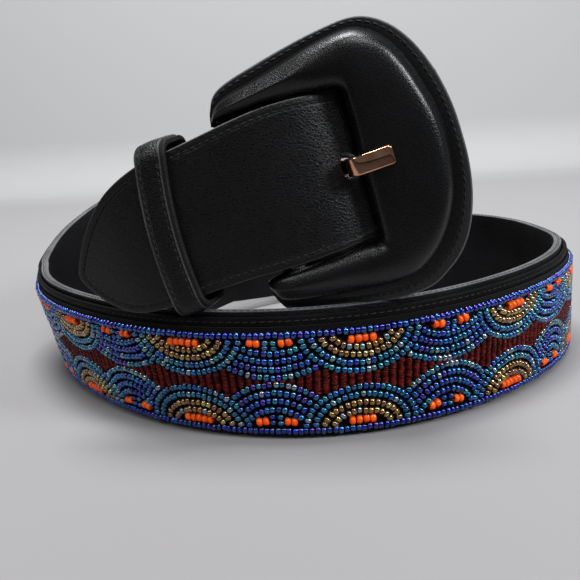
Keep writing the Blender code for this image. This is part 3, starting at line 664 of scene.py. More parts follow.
# Leather strips: a cross-section carried along the route.
edges = {
    "round": 0.5,       # radius of the long edges
    "layerCut": 0.12,   # depth of the line between the two layers, seen on the edge
    "groove": 2.0,      # distance of the stitching from the edge
    "grooveDeep": 0.16,
    "grooveWide": 0.45,
    "wearAndSheen": 1.6,
    "innerLift": ((150, 166, 190, 198), (0, 3.8, 3.8, 0)),      # lower edge, by run
    "innerDrop": ((15, 21, 36, 52), (0, 3.0, 3.0, 0)),          # upper edge, by run
    "jointGap": 0.15,
}
hole = {
    "half": 3.0,                    # half its width
    "columns": 9,                   # lines of points over it
    "beside": (4.6, 7, 11),         # and on each side of it
    "stations": (0, 0.4, 0.9, 1.5, 2.2),    # rows of points before and after its ends
    "round": 1.8,                   # how far its ends are rounded
    "fadeAcross": 7,
    "fadeAlong": 2.2,
    "wearAndSheen": 0.45,
    "foldBack": 12.0,               # the slot of the fold, from the bar
    "tongueSpan": (0.56, 0.485),    # the slot of the tongue, in shares of the reach
}
tip = {
    "longer": 3.4,      # than the solid's
    "passes": 330,      # that smooth its outline
    "from": 60,         # where its own stations start
    "stations": 110,
    "closer": 1.5,      # draws them together at the point
}


def stripSection(grooved, layered, radius=edges["round"], edgeWearAndSheen=edges["wearAndSheen"]):
    # one half of a cross-section, from the middle of the edge to the middle of the face:
    # kind, inset, drop, wear and painted sheen, raw
    half = [("edge", 0.0, 0.05, 0.5, 0.4)]
    if layered:
        # The layered edge's lighter rows are worn edge paint with painted sheen along the top.
        half = [("edge", edges["layerCut"], 0.04, 0.0, 1.0), ("edge", 0.02, 0.16, edgeWearAndSheen, 0.6),
                ("edge", 0.0, 0.42, edgeWearAndSheen, 0.4), ("edge", 0.07, 0.52, 0.2, 0.8),
                ("edge", 0.0, 0.62, edgeWearAndSheen, 0.4)]
    # Lighter towards the edge as it rolls over: worn edge, with painted sheen on the rim.
    for angle, wearAndSheen in ((90, 0.8), (65, 0.6), (45, 0.35), (25, 0.15), (0, 0.0)):
        turn = math.radians(angle)
        inset, drop = radius * (1 - math.sin(turn)), radius * (1 - math.cos(turn))
        half.append(("face", inset, drop, wearAndSheen * edgeWearAndSheen, wearAndSheen * 0.8))
    if grooved:
        middle, wide, deep = edges["groove"], edges["grooveWide"], edges["grooveDeep"]
        # The lighter rows on the groove's inner side paint a highlight along the crease.
        for shift, drop, wearAndSheen, raw in (
                (-wide - 0.35, 0.0, 0.0, 0.1), (-wide, 0.02, 0.0, 0.1), (-wide * 0.5, deep * 0.8, 0.0, 0.3),
                (0, deep, 0.0, 0.5), (wide * 0.5, deep * 0.8, 0.0, 0.3), (wide, 0.0, 0.2, 0.0),
                (wide + 0.3, -0.02, 0.28, 0.0), (wide + 0.7, 0.0, 0.0, 0.0)):
            half.append(("face", middle + shift, drop, wearAndSheen, raw))
    return half


def insetNormals(low, high):
    # inward directions in (run, across) along both edges, for a strip that may close at its tip
    line = np.concatenate([low, high[::-1]])
    step = unit(np.gradient(line, axis=0) + [1e-9, 0])
    normals = np.stack([-step[:, 1], step[:, 0]], 1)
    return normals[:len(low)], normals[len(low):][::-1]


def cutHole(first, last, runs, grid, across, keep, wearAndSheen):
    # rounds the hole's ends, opens both faces and gives the walls between them
    half = hole["half"]
    offset = np.abs(across - strap["width"] / 2)
    bulge = hole["round"] * (1 - np.sqrt(1 - (np.minimum(offset, half) / half) ** 2))
    fade = np.clip(1 - (offset - half) / hole["fadeAcross"], 0, 1)
    for place, sign in ((first, 1), (last, -1)):
        close = np.clip(1 - np.abs(runs - place) / hole["fadeAlong"], 0, 1)[:, None]
        grid += sign * bulge * fade * close * close * (3 - 2 * close)
    k0, k1 = np.flatnonzero((runs[:-1] > first - 0.01) & (runs[1:] < last + 0.01))[[0, -1]]
    size = across.shape[1]
    loops = []
    for side, order in zip(np.split(np.arange(size), 2), (1, -1)):
        cols = side[offset[k0, side] < half + 0.2]
        keep[k0:k1 + 1, cols[:-1]] = False
        cols = cols[::order]
        loop = [(k, cols[0]) for k in range(k0, k1 + 1)] + [(k1 + 1, c) for c in cols[:-1]]
        loop += [(k, cols[-1]) for k in range(k1 + 1, k0, -1)] + [(k0, c) for c in cols[:0:-1]]
        loops.append(np.array(loop) @ (size, 1))
    wearAndSheen.flat[loops[0]] = hole["wearAndSheen"]
    return np.stack([loops[0], loops[1], np.roll(loops[1], -1), np.roll(loops[0], -1)], 1)


def sweepStrip(name, low, high, finish, section, near=None, far=None, holes=(), columns=8):
    # low, high: edges as (run, across); holes: pairs of runs, cut out round the middle line
    runs = low[:, 0]
    thick = routeValue("thick", runs)
    back = -thick / 2 if near is None else np.full(len(runs), near)
    front = thick / 2 if far is None else np.full(len(runs), far)
    normalLow, normalHigh = insetNormals(low, high)
    inset = section[-1][1]
    innerLow, innerHigh = low + normalLow * inset, high + normalHigh * inset
    shares = np.linspace(0, 1, columns + 2)[1:-1]
    if holes:
        beside = np.array(hole["beside"])
        over = np.linspace(-hole["half"], hole["half"], hole["columns"])
        offsets = np.concatenate([-beside[::-1], over, beside])
        shares = (offsets + strap["width"] / 2 - inset) / (strap["width"] - 2 * inset)
    # once round the strip: place on the flat, depth, wear and painted sheen, raw
    around = []
    for side, face in ((1, front), (-1, back)):
        middle = (front + back) / 2
        outs = [middle + side * row[2] if row[0] == "edge" else face - side * row[2] for row in section]
        pairs = list(zip(section, outs))
        rows = [(low + normalLow * row[1], out, row[3], row[4]) for row, out in pairs]
        rows += [(innerLow + (innerHigh - innerLow) * share, face, 0.0, 0.0) for share in shares]
        rows += [(high + normalHigh * row[1], out, row[3], row[4]) for row, out in pairs[::-1]]
        around += rows[::side]
    flat, depth = [np.stack([row[k] for row in around], 1) for k in (0, 1)]
    wearAndSheen, raw = [np.tile([row[k] for row in around], (len(runs), 1)) for k in (2, 3)]
    size = len(around)
    grid, across = flat[..., 0].copy(), flat[..., 1]
    keep = np.ones((len(runs) - 1, size), bool)
    walls = [cutHole(first, last, runs, grid, across, keep, wearAndSheen) for first, last in holes]
    skin = tubeFaces(len(runs), size).reshape(len(runs) - 1, size, 4)[keep]
    return makeMesh(name, onStrap(grid, across, depth), [skin, *walls, endCaps(len(runs), size)], finish,
                    {"wearAndSheen": wearAndSheen, "raw": raw})


def stationRuns(start, end, *marks):
    # the route's own stations between two runs, with the marks among them
    runs = route["run"][(route["run"] > start + 0.02) & (route["run"] < end - 0.02)]
    near = [mark + sign * step for mark in marks for step in hole["stations"] for sign in (-1, 1)]
    runs = np.unique(np.concatenate([[start, end], runs, near]))
    firm = np.isin(runs, marks) | np.isin(runs, (start, end))
    keep = np.ones(len(runs), bool)
    for i in range(1, len(runs)):
        if runs[i] - runs[i - 1] < 0.05:
            keep[i - 1 if firm[i] else i] = False
    return runs[keep]


def edgePair(runs, low=None, high=None):
    lowEdge = routeValue("low", runs) if low is None else np.full(len(runs), low)
    highEdge = routeValue("high", runs) if high is None else np.full(len(runs), high)
    return np.stack([runs, lowEdge], 1), np.stack([runs, highEdge], 1)


def tongueEdges(start):
    # the tongue's outline, with the tip drawn as one smooth curve, and the place of its point
    low, high = edgePair(np.arange(start, strapEnd, 0.5))
    point = (low[-1] + high[-1]) / 2 + [tip["longer"], 0]
    line = np.concatenate([low, [point], high[::-1]])
    length = lengthsAlong(line)
    line = columnsAt(np.linspace(0, length[-1], int(length[-1] / 0.25)), length, line)
    for _ in range(tip["passes"]):
        line[1:-1] = (line[:-2] + 2 * line[1:-1] + line[2:]) / 4
    return line, int(np.argmax(line[:, 0]))


def tonguePairs(start, marks):
    # stations with level pairs up to the tip, then pairs at equal shares of the way round it
    split = strapEnd - tip["from"]
    runs = stationRuns(start, split, *marks)
    line, apex = tongueEdges(runs[0])
    halves = []
    for half in (line[:apex + 1], line[apex:][::-1]):
        straight = np.stack([runs, np.interp(runs, half[:, 0], half[:, 1])], 1)
        tail = np.concatenate([straight[-1:], half[half[:, 0] > split]])
        length = lengthsAlong(tail)
        share = 1 - (1 - np.linspace(0, 1, tip["stations"])[1:]) ** tip["closer"]
        halves.append(np.concatenate([straight, columnsAt(share * length[-1], length, tail)]))
    return halves


def runWhere(along, low, high):
    # the run between two others at which the strap is this far along the buckle
    runs = np.linspace(low, high, 400)
    there = (routeValue("pos", runs) - buckleMiddle) @ alongAxis
    return float(runs[np.argmin(np.abs(there - along))])


joinA = panel["start"] + panel["overhang"]
joinB = panel["end"] - panel["overhang"]
jointGap = edges["jointGap"]
plainSection = stripSection(False, True)
slotBack = buckle["barAlong"] - hole["foldBack"]
foldSlot = (runWhere(slotBack, route["run"][0], -14), runWhere(slotBack, -1, 30))
tongueSlot = [runWhere(share * buckle["reach"], strapEnd - 110, strapEnd) for share in hole["tongueSpan"]]


def buildStraps():
    edgesOf = edgePair(stationRuns(joinA + jointGap, joinB - jointGap))
    body = sweepStrip("bodyStrap", *edgesOf, leathers["strap"], plainSection)
    low, high = edgePair(stationRuns(route["run"][0], joinA - jointGap, *foldSlot))
    low[:, 1] += np.interp(low[:, 0], *edges["innerLift"])
    high[:, 1] -= np.interp(high[:, 0], *edges["innerDrop"])
    inner = sweepStrip("buckleStrap", low, high, leathers["strap"], plainSection, holes=[foldSlot])
    tongue = sweepStrip("tongue", *tonguePairs(joinB + jointGap, tongueSlot), leathers["tongue"],
                        stripSection(True, True), holes=[tongueSlot])
    edgesOf = edgePair(stationRuns(panel["start"], panel["end"]), panel["baseLow"], panel["baseHigh"])
    # Less edge lightening on the panel strip, as part of its painted shade.
    base = sweepStrip("panelStrip", *edgesOf, leathers["panel"], stripSection(False, False, 0.4, 0.3),
                      panel["near"], panel["far"], columns=4)
    parts = {"body_strap": body, "buckle_strap": inner, "billet": tongue, "panel_base": base}
    for slot, obj in parts.items():
        addPiece(obj, slot, slot)
    meshes = [obj.data for obj in parts.values()]
    print("straps: %d triangles" % sum(len(mesh.loops) - 2 * len(mesh.polygons) for mesh in meshes))


buildStraps()


# Keeper: the loop over the tongue, bowed along the strap.
keeper = {
    "width": 8.3,
    "thickness": 2.0,
    "behindBar": 26.7,
    "bow": 1.9,
    "bowMiddle": -13.0,
    "skew": 4.0,
    "roomTop": 1.6,
    "roomFoot": 1.5,
    "roomFace": 0.5,
    "corner": 2.4,
    "crown": 0.25,
    "rawBand": 1.4,     # bare band along the right edge
    "stitchIn": 1.2,
    "stitchFromBand": 0.95,
    "stitchSink": 0.04,
    "stitches": {"pitch": 2.0, "fill": 0.72},       # fill: thread's share of the pitch
    "threadRadius": 0.24,
}


keeperTop = strap["width"] / 2 + keeper["roomTop"]
keeperFoot = -strap["width"] / 2 - keeper["roomFoot"]
keeperFront = strap["thickness"] + keeper["roomFace"]
keeperBack = buckle["foldReturn"][0][1] * strap["thickness"] - strap["foldThickness"] - keeper["roomFace"]


def keeperLoop():
    # (up, depth, normal up, normal depth) round the loop, at the leather's inner face
    r = keeper["corner"]
    loop = []
    for up, depth, start in ((keeperTop - r, keeperFront - r, 0), (keeperFoot + r, keeperFront - r, 90),
                             (keeperFoot + r, keeperBack + r, 180), (keeperTop - r, keeperBack + r, 270)):
        for k in range(9):
            a = math.radians(start + 90 * k / 8)
            loop.append((up + r * math.cos(a), depth + r * math.sin(a), math.cos(a), math.sin(a)))
    full = []
    for row, after in zip(loop, loop[1:] + loop[:1]):
        count = max(1, round(math.hypot(after[0] - row[0], after[1] - row[1])))
        for k in range(count):
            full.append(tuple(a + (b - a) * k / count for a, b in zip(row[:2], after[:2])) + row[2:])
    return np.array(full)


def keeperPoint(up, depth, nUp, nDepth, along, out):
    bow = keeper["bow"] * ((up - keeper["bowMiddle"]) / keeperFoot) ** 2
    skew = keeper["skew"] * (keeperFront - depth) / (keeperFront - keeperBack)
    start = buckle["barAlong"] - keeper["behindBar"]
    return inBuckle(start + bow + skew + along, up + nUp * out, depth + nDepth * out)


def buildKeeper():
    full = keeperLoop()
    half, t = keeper["width"] / 2, keeper["thickness"]
    crown = t + keeper["crown"]
    row = keeper["stitchIn"] - half
    step = half - keeper["rawBand"]
    # along, out, wear and painted sheen, and raw round the loop's cross-section
    # The lighter rows at the step before the raw band and beside the stitch row are painted highlight.
    ring = np.array([
        (-half + 0.4, 0, 0, 0), (half - 0.4, 0, 0, 0), (half - 0.1, 0.1, 0.1, 1), (half, 0.45, 0.2, 1),
        (half - 0.1, 0.9, 0.0, 1), (half - 0.05, t - 0.85, 0.2, 1), (half - 0.35, t - 0.62, 0.35, 1),
        (half - 0.8, t - 0.6, 0.0, 1), (step + 0.12, t - 0.55, 0.0, 1), (step, t - 0.15, 0.4, 0.2),
        (step - 0.22, t + 0.02, 0.35, 0), (step - 0.5, t + 0.06, 0.1, 0), (step - 0.9, t + 0.1, 0, 0),
        (half * 0.2, crown, 0, 0), (-half * 0.15, crown + 0.03, 0, 0), (-half * 0.45, crown - 0.05, 0, 0),
        (row + 0.75, t + 0.08, 0.1, 0), (row + 0.5, t + 0.08, 0.4, 0), (row + 0.2, t - 0.1, 0, 0.5),
        (row - 0.2, t - 0.1, 0, 0.5), (row - 0.45, t + 0.02, 0.2, 0.8), (-half + 0.4, t, 0.5, 1),
        (-half + 0.1, t - 0.2, 0.8, 0.6), (-half, 1.4, 0.3, 1), (-half + 0.1, 0.95, 0, 1),
        (-half, 0.45, 0.2, 1), (-half + 0.1, 0.1, 0.1, 1)])
    points = keeperPoint(*[full[:, None, k] for k in range(4)], ring[None, :, 0], ring[None, :, 1])
    wearAndSheen, raw = [np.tile(ring[:, k], (len(full), 1)) for k in (2, 3)]
    loop = makeMesh("keeperLoop", points, [tubeFaces(len(full), len(ring), True)], leathers["tongue"],
                    {"wearAndSheen": wearAndSheen, "raw": raw})
    addPiece(loop, "keeper", "keeper")
    rows = np.vstack([full, full[:1]])
    normals = rows[:, 2:3] * upAxis + rows[:, 3:4] * faceAxis
    lines = [keeperPoint(*rows.T, place, t - keeper["stitchSink"])
             for place in (row, step - keeper["stitchFromBand"])]
    addStitches("keeperStitches", [stitchRow(line, normals, **keeper["stitches"]) for line in lines],
                keeper["threadRadius"], "keeper")


buildKeeper()
print("keeper: done")


# Buckle frame: leather drawn over a domed ring, with a flange that is stitched down.
ringFrame = {
    "half": 34.9,
    "window": 20.1,
    "back": -3.7,
    "drop": 0.5,
    "rise": 8.0,
    "hollow": 3.0,
    "flange": 2.8,
    "flangeThick": 1.8,
    "shoulder": 3.6,
    "backStep": 1.6,
    "lip": 2.3,
    "lipRise": 4.4,
    "tuck": 2.2,        # leather that runs in behind the tongue
    "tuckTo": (13.0, 39.0),
    "tuckUp": 12.0,     # it starts this far from the middle
    "tuckFade": (2.5, 3.0),
    "ends": [(0.93, 0.35), (0.78, 0.65), (0.5, 0.85)],      # soft ends of the arms: size, shift
    "finer": 8,
    "stitches": {"pitch": 2.1, "fill": 0.72, "sink": 0.02},
    "stitchPlace": 0.43,    # across the flange
    "threadRadius": 0.25,
    # shares, from the upper arm's end to the lower one's:
    # outer along, outer up, inner along, inner up, rise, flange, lip
    "plan": [
        (0.053, 0.725, 0.045, 1.08, 0.36, 0.8, 0), (0.086, 0.817, 0.068, 1.015, 0.62, 0.9, 0.9),
        (0.149, 0.874, 0.136, 1, 0.84, 1, 1), (0.284, 0.923, 0.258, 1, 0.94, 1.14, 1),
        (0.423, 0.963, 0.38, 1.09, 1, 1.07, 0), (0.557, 0.991, 0.477, 1.045, 1, 0.9, 0),
        (0.693, 1, 0.549, 1.01, 1, 0.9, 0), (0.78, 0.957, 0.585, 0.94, 1, 1.07, 0),
        (0.858, 0.848, 0.587, 0.76, 1, 1.2, 0), (0.922, 0.676, 0.584, 0.55, 1, 1.4, 0),
        (0.969, 0.453, 0.579, 0.36, 1, 1.5, 0), (0.994, 0.223, 0.573, 0.18, 1, 1.4, 0),
        (1, 0, 0.569, 0, 1, 1.35, 0), (0.994, -0.249, 0.565, -0.18, 1, 1.5, 0),
        (0.969, -0.49, 0.562, -0.36, 1, 1.7, 0), (0.922, -0.711, 0.559, -0.55, 1, 2, 0),
        (0.858, -0.873, 0.556, -0.76, 1, 2.15, 0), (0.78, -0.98, 0.551, -0.94, 1, 2.1, 0),
        (0.693, -1.055, 0.53, -1.01, 1, 2.05, 0), (0.557, -1.066, 0.47, -1, 1, 1.8, 0),
        (0.423, -1.026, 0.38, -1, 1, 1.58, 0), (0.284, -0.972, 0.258, -1, 0.94, 1.3, 0),
        (0.149, -0.92, 0.136, -1, 0.84, 1.1, 0), (0.078, -0.872, 0.072, -1.01, 0.68, 1.0, 0),
        (0.045, -0.78, 0.042, -1.05, 0.46, 0.9, 0)],
}


def frameRows():
    reach = buckle["reach"]
    units = [reach, ringFrame["half"], reach, ringFrame["window"], 1.0, ringFrame["flange"], 1.0]
    rows = np.array(ringFrame["plan"]) * units
    return smoothRows(rows, [ringFrame["finer"]] * (len(rows) - 1))


def frameSection(width, rise, flange, lip, tuck, tuckTop):
    # distance from the outer edge, height, wear and raw
    top = ringFrame["rise"] * rise
    low = ringFrame["hollow"] * min(1.0, rise * 1.2)
    lip = min(max(lip, 0.0), 1.0)
    flange = min(flange, width * 0.4)
    inner = width - ringFrame["lip"] * lip
    room = inner - flange
    soft = min(ringFrame["shoulder"], room * 0.42)
    step = ringFrame["flangeThick"]
    shoulder = top * 0.66
    edge = max(top * 0.5, low * 1.2)
    shoulder += (min(shoulder, ringFrame["lipRise"]) - shoulder) * lip
    edge += (min(edge, low * 1.2) - edge) * lip
    dome = [(flange - 0.2, step), (flange + soft * 0.10, step + (top - step) * 0.28),
            (flange + soft * 0.38, step + (top - step) * 0.62), (flange + soft, step + (top - step) * 0.90),
            (flange + room * 0.52, top), (inner - soft * 0.85, top * 0.96),
            (inner - soft * 0.36, top * 0.84), (inner - soft * 0.08, shoulder), (width, edge)]
    curve = smoothRows([(x, h, 0, 0) for x, h in dome], [2, 3, 4, 4, 4, 3, 2, 2])
    rows = [(0.15, 0.0, 0.3, 1), (0.0, 0.2, 0.6, 1), (0.0, 0.75, 0.2, 1), (0.08, 0.9, 0.0, 1),
            (0.0, 1.05, 0.6, 1), (0.0, step - 0.25, 1.2, 0.6), (0.25, step, 1.0, 0.5),
            (0.6, step + 0.02, 0.2, 0.8),
            (flange * 0.36, step - 0.06, 0, 0.4), (flange * 0.5, step - 0.06, 0, 0.3),
            (flange * 0.62, step + 0.02, 0.2, 0)]
    rows += [tuple(point) for point in curve]
    rows += [(width + 0.02, min(edge - 0.1, tuckTop + 0.1), 0.1, 0), (width + tuck, tuckTop, 0.1, 0),
             (width + tuck, tuckTop - 0.8, 0.2, 0.4), (width, min(low, tuckTop - 0.85), 0.2, 0.4),
             (flange + min(ringFrame["backStep"], room * 0.2), low, 0, 0), (flange - 0.2, 0.0, 0, 0)]
    return np.array(rows)


def buildFrame():
    rows = frameRows()
    outer, innerEdge = rows[:, :2], rows[:, 2:4]
    width = np.linalg.norm(innerEdge - outer, axis=1)
    across = (innerEdge - outer) / width[:, None]
    near, far = ringFrame["tuckTo"]
    fadeAlong, fadeUp = ringFrame["tuckFade"]
    along, up = innerEdge.T
    tuck = ringFrame["tuck"] * np.clip(np.minimum(along - near, far - along) / fadeAlong, 0, 1)
    tuck = tuck * np.clip((np.abs(up) - ringFrame["tuckUp"]) / fadeUp, 0, 1)
    root = np.array(buckle["tongueRoot"])[::-1]
    backOfTongue = np.interp(along + 1.0, root[:, 0] * buckle["reach"], root[:, 1] * strap["thickness"])
    tuckTop = np.clip(backOfTongue - 0.25, -2.8, 0.4) - ringFrame["back"]
    sections = [frameSection(w, *row[4:], *more) for w, row, *more in zip(width, rows, tuck, tuckTop)]
    rings = list(zip(outer, sections, across))
    for end, beside in ((0, 1), (-1, -2)):
        # a section drawn in towards its middle and moved on
        ahead = unit(outer[end] - outer[beside])
        for size, shift in ringFrame["ends"]:
            section = sections[end].copy()
            middle = section[:, :2].mean(axis=0)
            section[:, :2] = middle + (section[:, :2] - middle) * size
            rings.insert(len(rings) if end else 0, (outer[end] + ahead * shift, section, across[end]))

    def onFrame(plan, height):
        return inBuckle(plan[:, 0], plan[:, 1] - ringFrame["drop"], ringFrame["back"] + height)

    points = [onFrame(start + side * section[:, :1], section[:, 1]) for start, section, side in rings]
    wearAndSheen, raw = [np.array([section[:, k] for _, section, _ in rings]) for k in (2, 3)]
    size = (len(rings), len(sections[0]))
    obj = makeMesh("buckleRing", points, [tubeFaces(*size), endCaps(*size)], leathers["buckle"],
                   {"wearAndSheen": wearAndSheen, "raw": raw})
    addPiece(obj, "buckle_frame", "buckle_frame")
    flange = np.minimum(rows[:, 5], width * 0.4)
    plan = outer + across * (flange * ringFrame["stitchPlace"])[:, None]
    line = onFrame(plan, ringFrame["flangeThick"])[4:-4]
    stitches = stitchRow(line, np.tile(faceAxis, (len(line), 1)), **ringFrame["stitches"])
    addStitches("buckleStitches", [stitches], ringFrame["threadRadius"], "buckle_frame")


buildFrame()
print("buckle ring: done")


# Prong: a flat metal strip, hooked round the bar and set on the ring.
prong = {
    "width": 4.8,
    "thickness": 1.6,
    "bevel": 0.45,
    "aboveRing": 0.6,
    "roundEnd": 0.9,
    "hookStart": 60,        # degrees round the bar
    "hookSweep": 210,
    "run": [
        (0.21, 0), (0.323, 0.018), (0.42, 0.05), (0.478, 0.12), (0.506, 0.27),
        (0.517, 0.5), (0.524, 0.74), (0.54, 0.93), (0.575, 0.995), (0.705, 1)],
}


def buildProng():
    w, t, b = prong["width"] / 2, prong["thickness"] / 2, prong["bevel"]
    radius = buckle["barRadius"] + strap["gap"] + t
    hookLine = roundBar(radius, prong["hookStart"], prong["hookSweep"], 40)
    hook = barDepth - radius
    rest = ringFrame["back"] + ringFrame["rise"] + prong["aboveRing"] + t
    rows = [(a * buckle["reach"], hook + climb * (rest - hook)) for a, climb in prong["run"]]
    line = np.concatenate([hookLine[:-1], smoothRows([hookLine[-1]] + rows, [10] * len(rows))])
    step = unit(np.gradient(line, axis=0))
    run = lengthsAlong(line)
    face = alongAxis[None] * -step[:, 1:] + faceAxis[None] * step[:, :1]
    corner = [(b * math.cos(a), b * math.sin(a)) for a in np.radians((0, 30, 60, 90))]
    half = [(w - b + x, t - b + y) for x, y in corner]
    ring = half + [(-u, d) for u, d in half[::-1]]
    ring += [(-u, -d) for u, d in ring]
    # closer stations at the end, for its rounded corners
    radius = prong["roundEnd"]
    rounding = run[-1] - radius * (1 - np.sin(np.radians(np.arange(0, 91, 10))))
    wanted = np.concatenate([run[run < run[-1] - radius], rounding])
    line, face = columnsAt(wanted, run, line), columnsAt(wanted, run, face)
    left = np.clip((run[-1] - wanted) / radius, 0, 1)
    shrink = radius * (1 - np.sqrt(np.clip(1 - (1 - left) ** 2, 0, 1)))
    points = []
    for (along, depth), out, less in zip(line, face, shrink):
        for u, d in ring:
            points.append(inBuckle(along, u * (w - less) / w, depth) + out * d * (t - 0.45 * less) / t)
    size = (len(line), len(ring))
    finish = metalFinish("roseMetal", prongLook)
    obj = makeMesh("prongMetal", points, [tubeFaces(*size), endCaps(*size)], finish, sharp=50)
    addPiece(obj, "prong", "prong")


buildProng()
nodes["buckle_bar"].data.materials[0] = metalFinish("barMetal", barLook)
print("prong and bar: done")


# Stitching on the strap.
stitching = {
    "tongue": {"pitch": 2.05, "fill": 0.70, "slant": 0.10},
    "tongueInset": 2.0,
    "radius": 0.24,
    "rim": {"pitch": 1.9, "fill": 0.62},
    "rimPlace": 0.55,       # out from the strap's middle
    "rimRadius": 0.2,
    "panel": {"pitch": 2.3, "fill": 0.72, "slant": 0.08},
    "panelInset": 1.2,
}


def buildStrapStitches():
    # along the tongue's lower edge, round the tip and back
    line, _ = tongueEdges(joinB + 1.0)
    step = unit(np.gradient(line, axis=0))
    runs, across = (line + np.stack([-step[:, 1], step[:, 0]], 1) * stitching["tongueInset"]).T
    line = onStrap(runs, across, routeValue("thick", runs) / 2 - 0.02)
    row = stitchRow(line, unit(routeValue("face", runs)), **stitching["tongue"])
    addStitches("tongueStitches", [row], stitching["radius"], "billet")
    # along the strap's upper edge, and along the strip below it
    runs = np.arange(joinA, joinB, 0.8)
    line = onStrap(runs, routeValue("high", runs) - 0.03, stitching["rimPlace"])
    rows = [stitchRow(line, unit(routeValue("width", runs)), **stitching["rim"])]
    runs = np.arange(panel["start"] + 2, panel["end"] - 2, 0.8)
    line = onStrap(runs, panel["baseHigh"] - stitching["panelInset"], panel["far"] - 0.03)
    rows.append(stitchRow(line, unit(routeValue("face", runs)), **stitching["panel"]))
    addStitches("rimStitches", rows, stitching["rimRadius"], "body_strap")


buildStrapStitches()
print("strap stitching: done")


# Beading, charted in millimetres: gold and blue scallops take turns along both borders.
beading = {
    "bedLow": 0.9,
    "bedHigh": 34.6,
    "bedOut": 3.75,
    "beadOut": 4.28,
    "endRoom": 1.2,         # from the felt's ends to the beads
    "firstGold": 556.5,     # strap run of one gold centre
    "repeat": 48.9,
    "wider": 4.2,           # the third repeat to the right of that centre is longer by this
    "firstRise": 1.0,       # rings start this far from the border row
    "goldRoom": 1.1,        # blue rings end this far from the gold ones
    "dotRise": 2.45,        # orange beads in the gold scallops
    "dotPlaces": (-5.05, -3.25, 3.2, 5.05),     # and in the blue ones, along
    "stemPlaces": (-1.15, 1.15),
    "columnPitch": 2.35,
    "columnRoom": 1.0,
    "seed": 11,
    "sides": 8,
    "jitter": 0.08,
    "wobble": 0.09,
}
# line: height of the border row; goldRings: half axes along and up; blueRings: radius and reach;
# fifthDot: how often a gold scallop has five orange beads
borders = [
    {"side": 1, "line": 2.5, "fifthDot": 0.3, "dotRise": 3.5, "stemRises": (2.6, 4.6),
     "goldRings": [(8.4, 5.4, "gold"), (11.1, 7.9, "gold"), (13.7, 10.5, "outer"), (16.3, 13.0, "outer")],
     "blueRings": [
         (10.3, 7.1, "first"), (12.7, 9.8, "second"), (15.1, 12.4, "third"), (17.5, 15.0, "last")]},
    {"side": -1, "line": 32.3, "fifthDot": 0.1, "dotRise": 2.45, "stemRises": (2.2, 3.7),
     "goldRings": [(8.4, 4.9, "gold"), (11.1, 7.2, "gold"), (13.7, 9.6, "outer"), (16.3, 12.0, "outer")],
     "blueRings": [
         (17.0, 5.4, "first"), (20.0, 7.8, "second"), (23.0, 10.2, "third"), (26.0, 12.7, "last")]},
]
# bead length along its hole, diameter, pitch
beadSizes = {
    "border": (1.58, 2.18, 1.66),
    "ring": (1.60, 2.28, 1.70),
    "orange": (1.88, 2.6, 1.92),
    "column": (1.5, 2.15, 1.58),
    "disc": (0.60, 1.95, 0.62),
}
# rings round the hole, in shares of length and radius
roundShape = np.array([
    (0.19, 0.99), (0.38, 0.82), (0.5, 0.54), (0.0, 0.33), (-0.5, 0.54), (-0.38, 0.82), (-0.19, 0.99)])
discShape = np.array([(0.3, 1.0), (0.5, 0.78), (0.4, 0.3), (-0.4, 0.3), (-0.5, 0.78), (-0.3, 1.0)])
# what each ring is strung from: shares of the kinds of glass
mixes = {
    "rim": {"cobalt": 0.72, "violet": 0.08, "blue": 0.2},
    "gold": {"gold": 0.95, "lightTeal": 0.05},
    "outer": {"teal": 0.66, "blue": 0.18, "lightTeal": 0.16},
    "first": {"teal": 0.45, "blue": 0.35, "cobalt": 0.2},
    "second": {"blue": 0.45, "cobalt": 0.2, "violet": 0.1, "teal": 0.25},
    "third": {"violet": 0.25, "blue": 0.45, "teal": 0.15, "lightTeal": 0.15},
    "last": {"lightTeal": 0.35, "teal": 0.5, "violet": 0.15},
    "orange": {"orange": 1.0},
    "maroon": {"maroon": 1.0},
}
lustre = {"metal": 0.85, "shine": 0.75, "swirl": 0.45}
beadLooks = {
    "cobalt": {**lustre, "swirl": 0.4, "colors": [
        (0.002, 0.006, 0.10), (0.004, 0.028, 0.27), (0.016, 0.014, 0.20), (0.008, 0.075, 0.26)]},
    "orange": {"metal": 0.0, "shine": 0.2, "swirl": 0.2, "colors": [
        (0.74, 0.065, 0.002), (0.84, 0.095, 0.003), (0.92, 0.13, 0.004)]},
    "gold": {**lustre, "colors": [
        (0.105, 0.040, 0.015), (0.33, 0.20, 0.055), (0.165, 0.075, 0.055), (0.48, 0.37, 0.14)]},
    "teal": {**lustre, "colors": [
        (0.002, 0.045, 0.10), (0.005, 0.130, 0.235), (0.014, 0.080, 0.235), (0.024, 0.21, 0.240)]},
    "blue": {**lustre, "colors": [
        (0.002, 0.016, 0.165), (0.004, 0.060, 0.31), (0.009, 0.115, 0.30)]},
    "violet": {**lustre, "colors": [
        (0.016, 0.007, 0.12), (0.050, 0.024, 0.24), (0.020, 0.034, 0.27)]},
    "lightTeal": {**lustre, "colors": [
        (0.07, 0.15, 0.17), (0.16, 0.29, 0.30), (0.21, 0.23, 0.31)]},
    "maroon": {"metal": 0.0, "shine": 0.06, "swirl": 0.3, "colors": [
        (0.024, 0.0012, 0.0012), (0.075, 0.0035, 0.003), (0.13, 0.007, 0.005)]},
}
glass = {
    "swirls": 900.0,
    "waves": 0.00004,
    "coatRough": 0.035,
    "smooth": 0.04,
    "rough": 0.13,
}
rng = np.random.default_rng(beading["seed"])


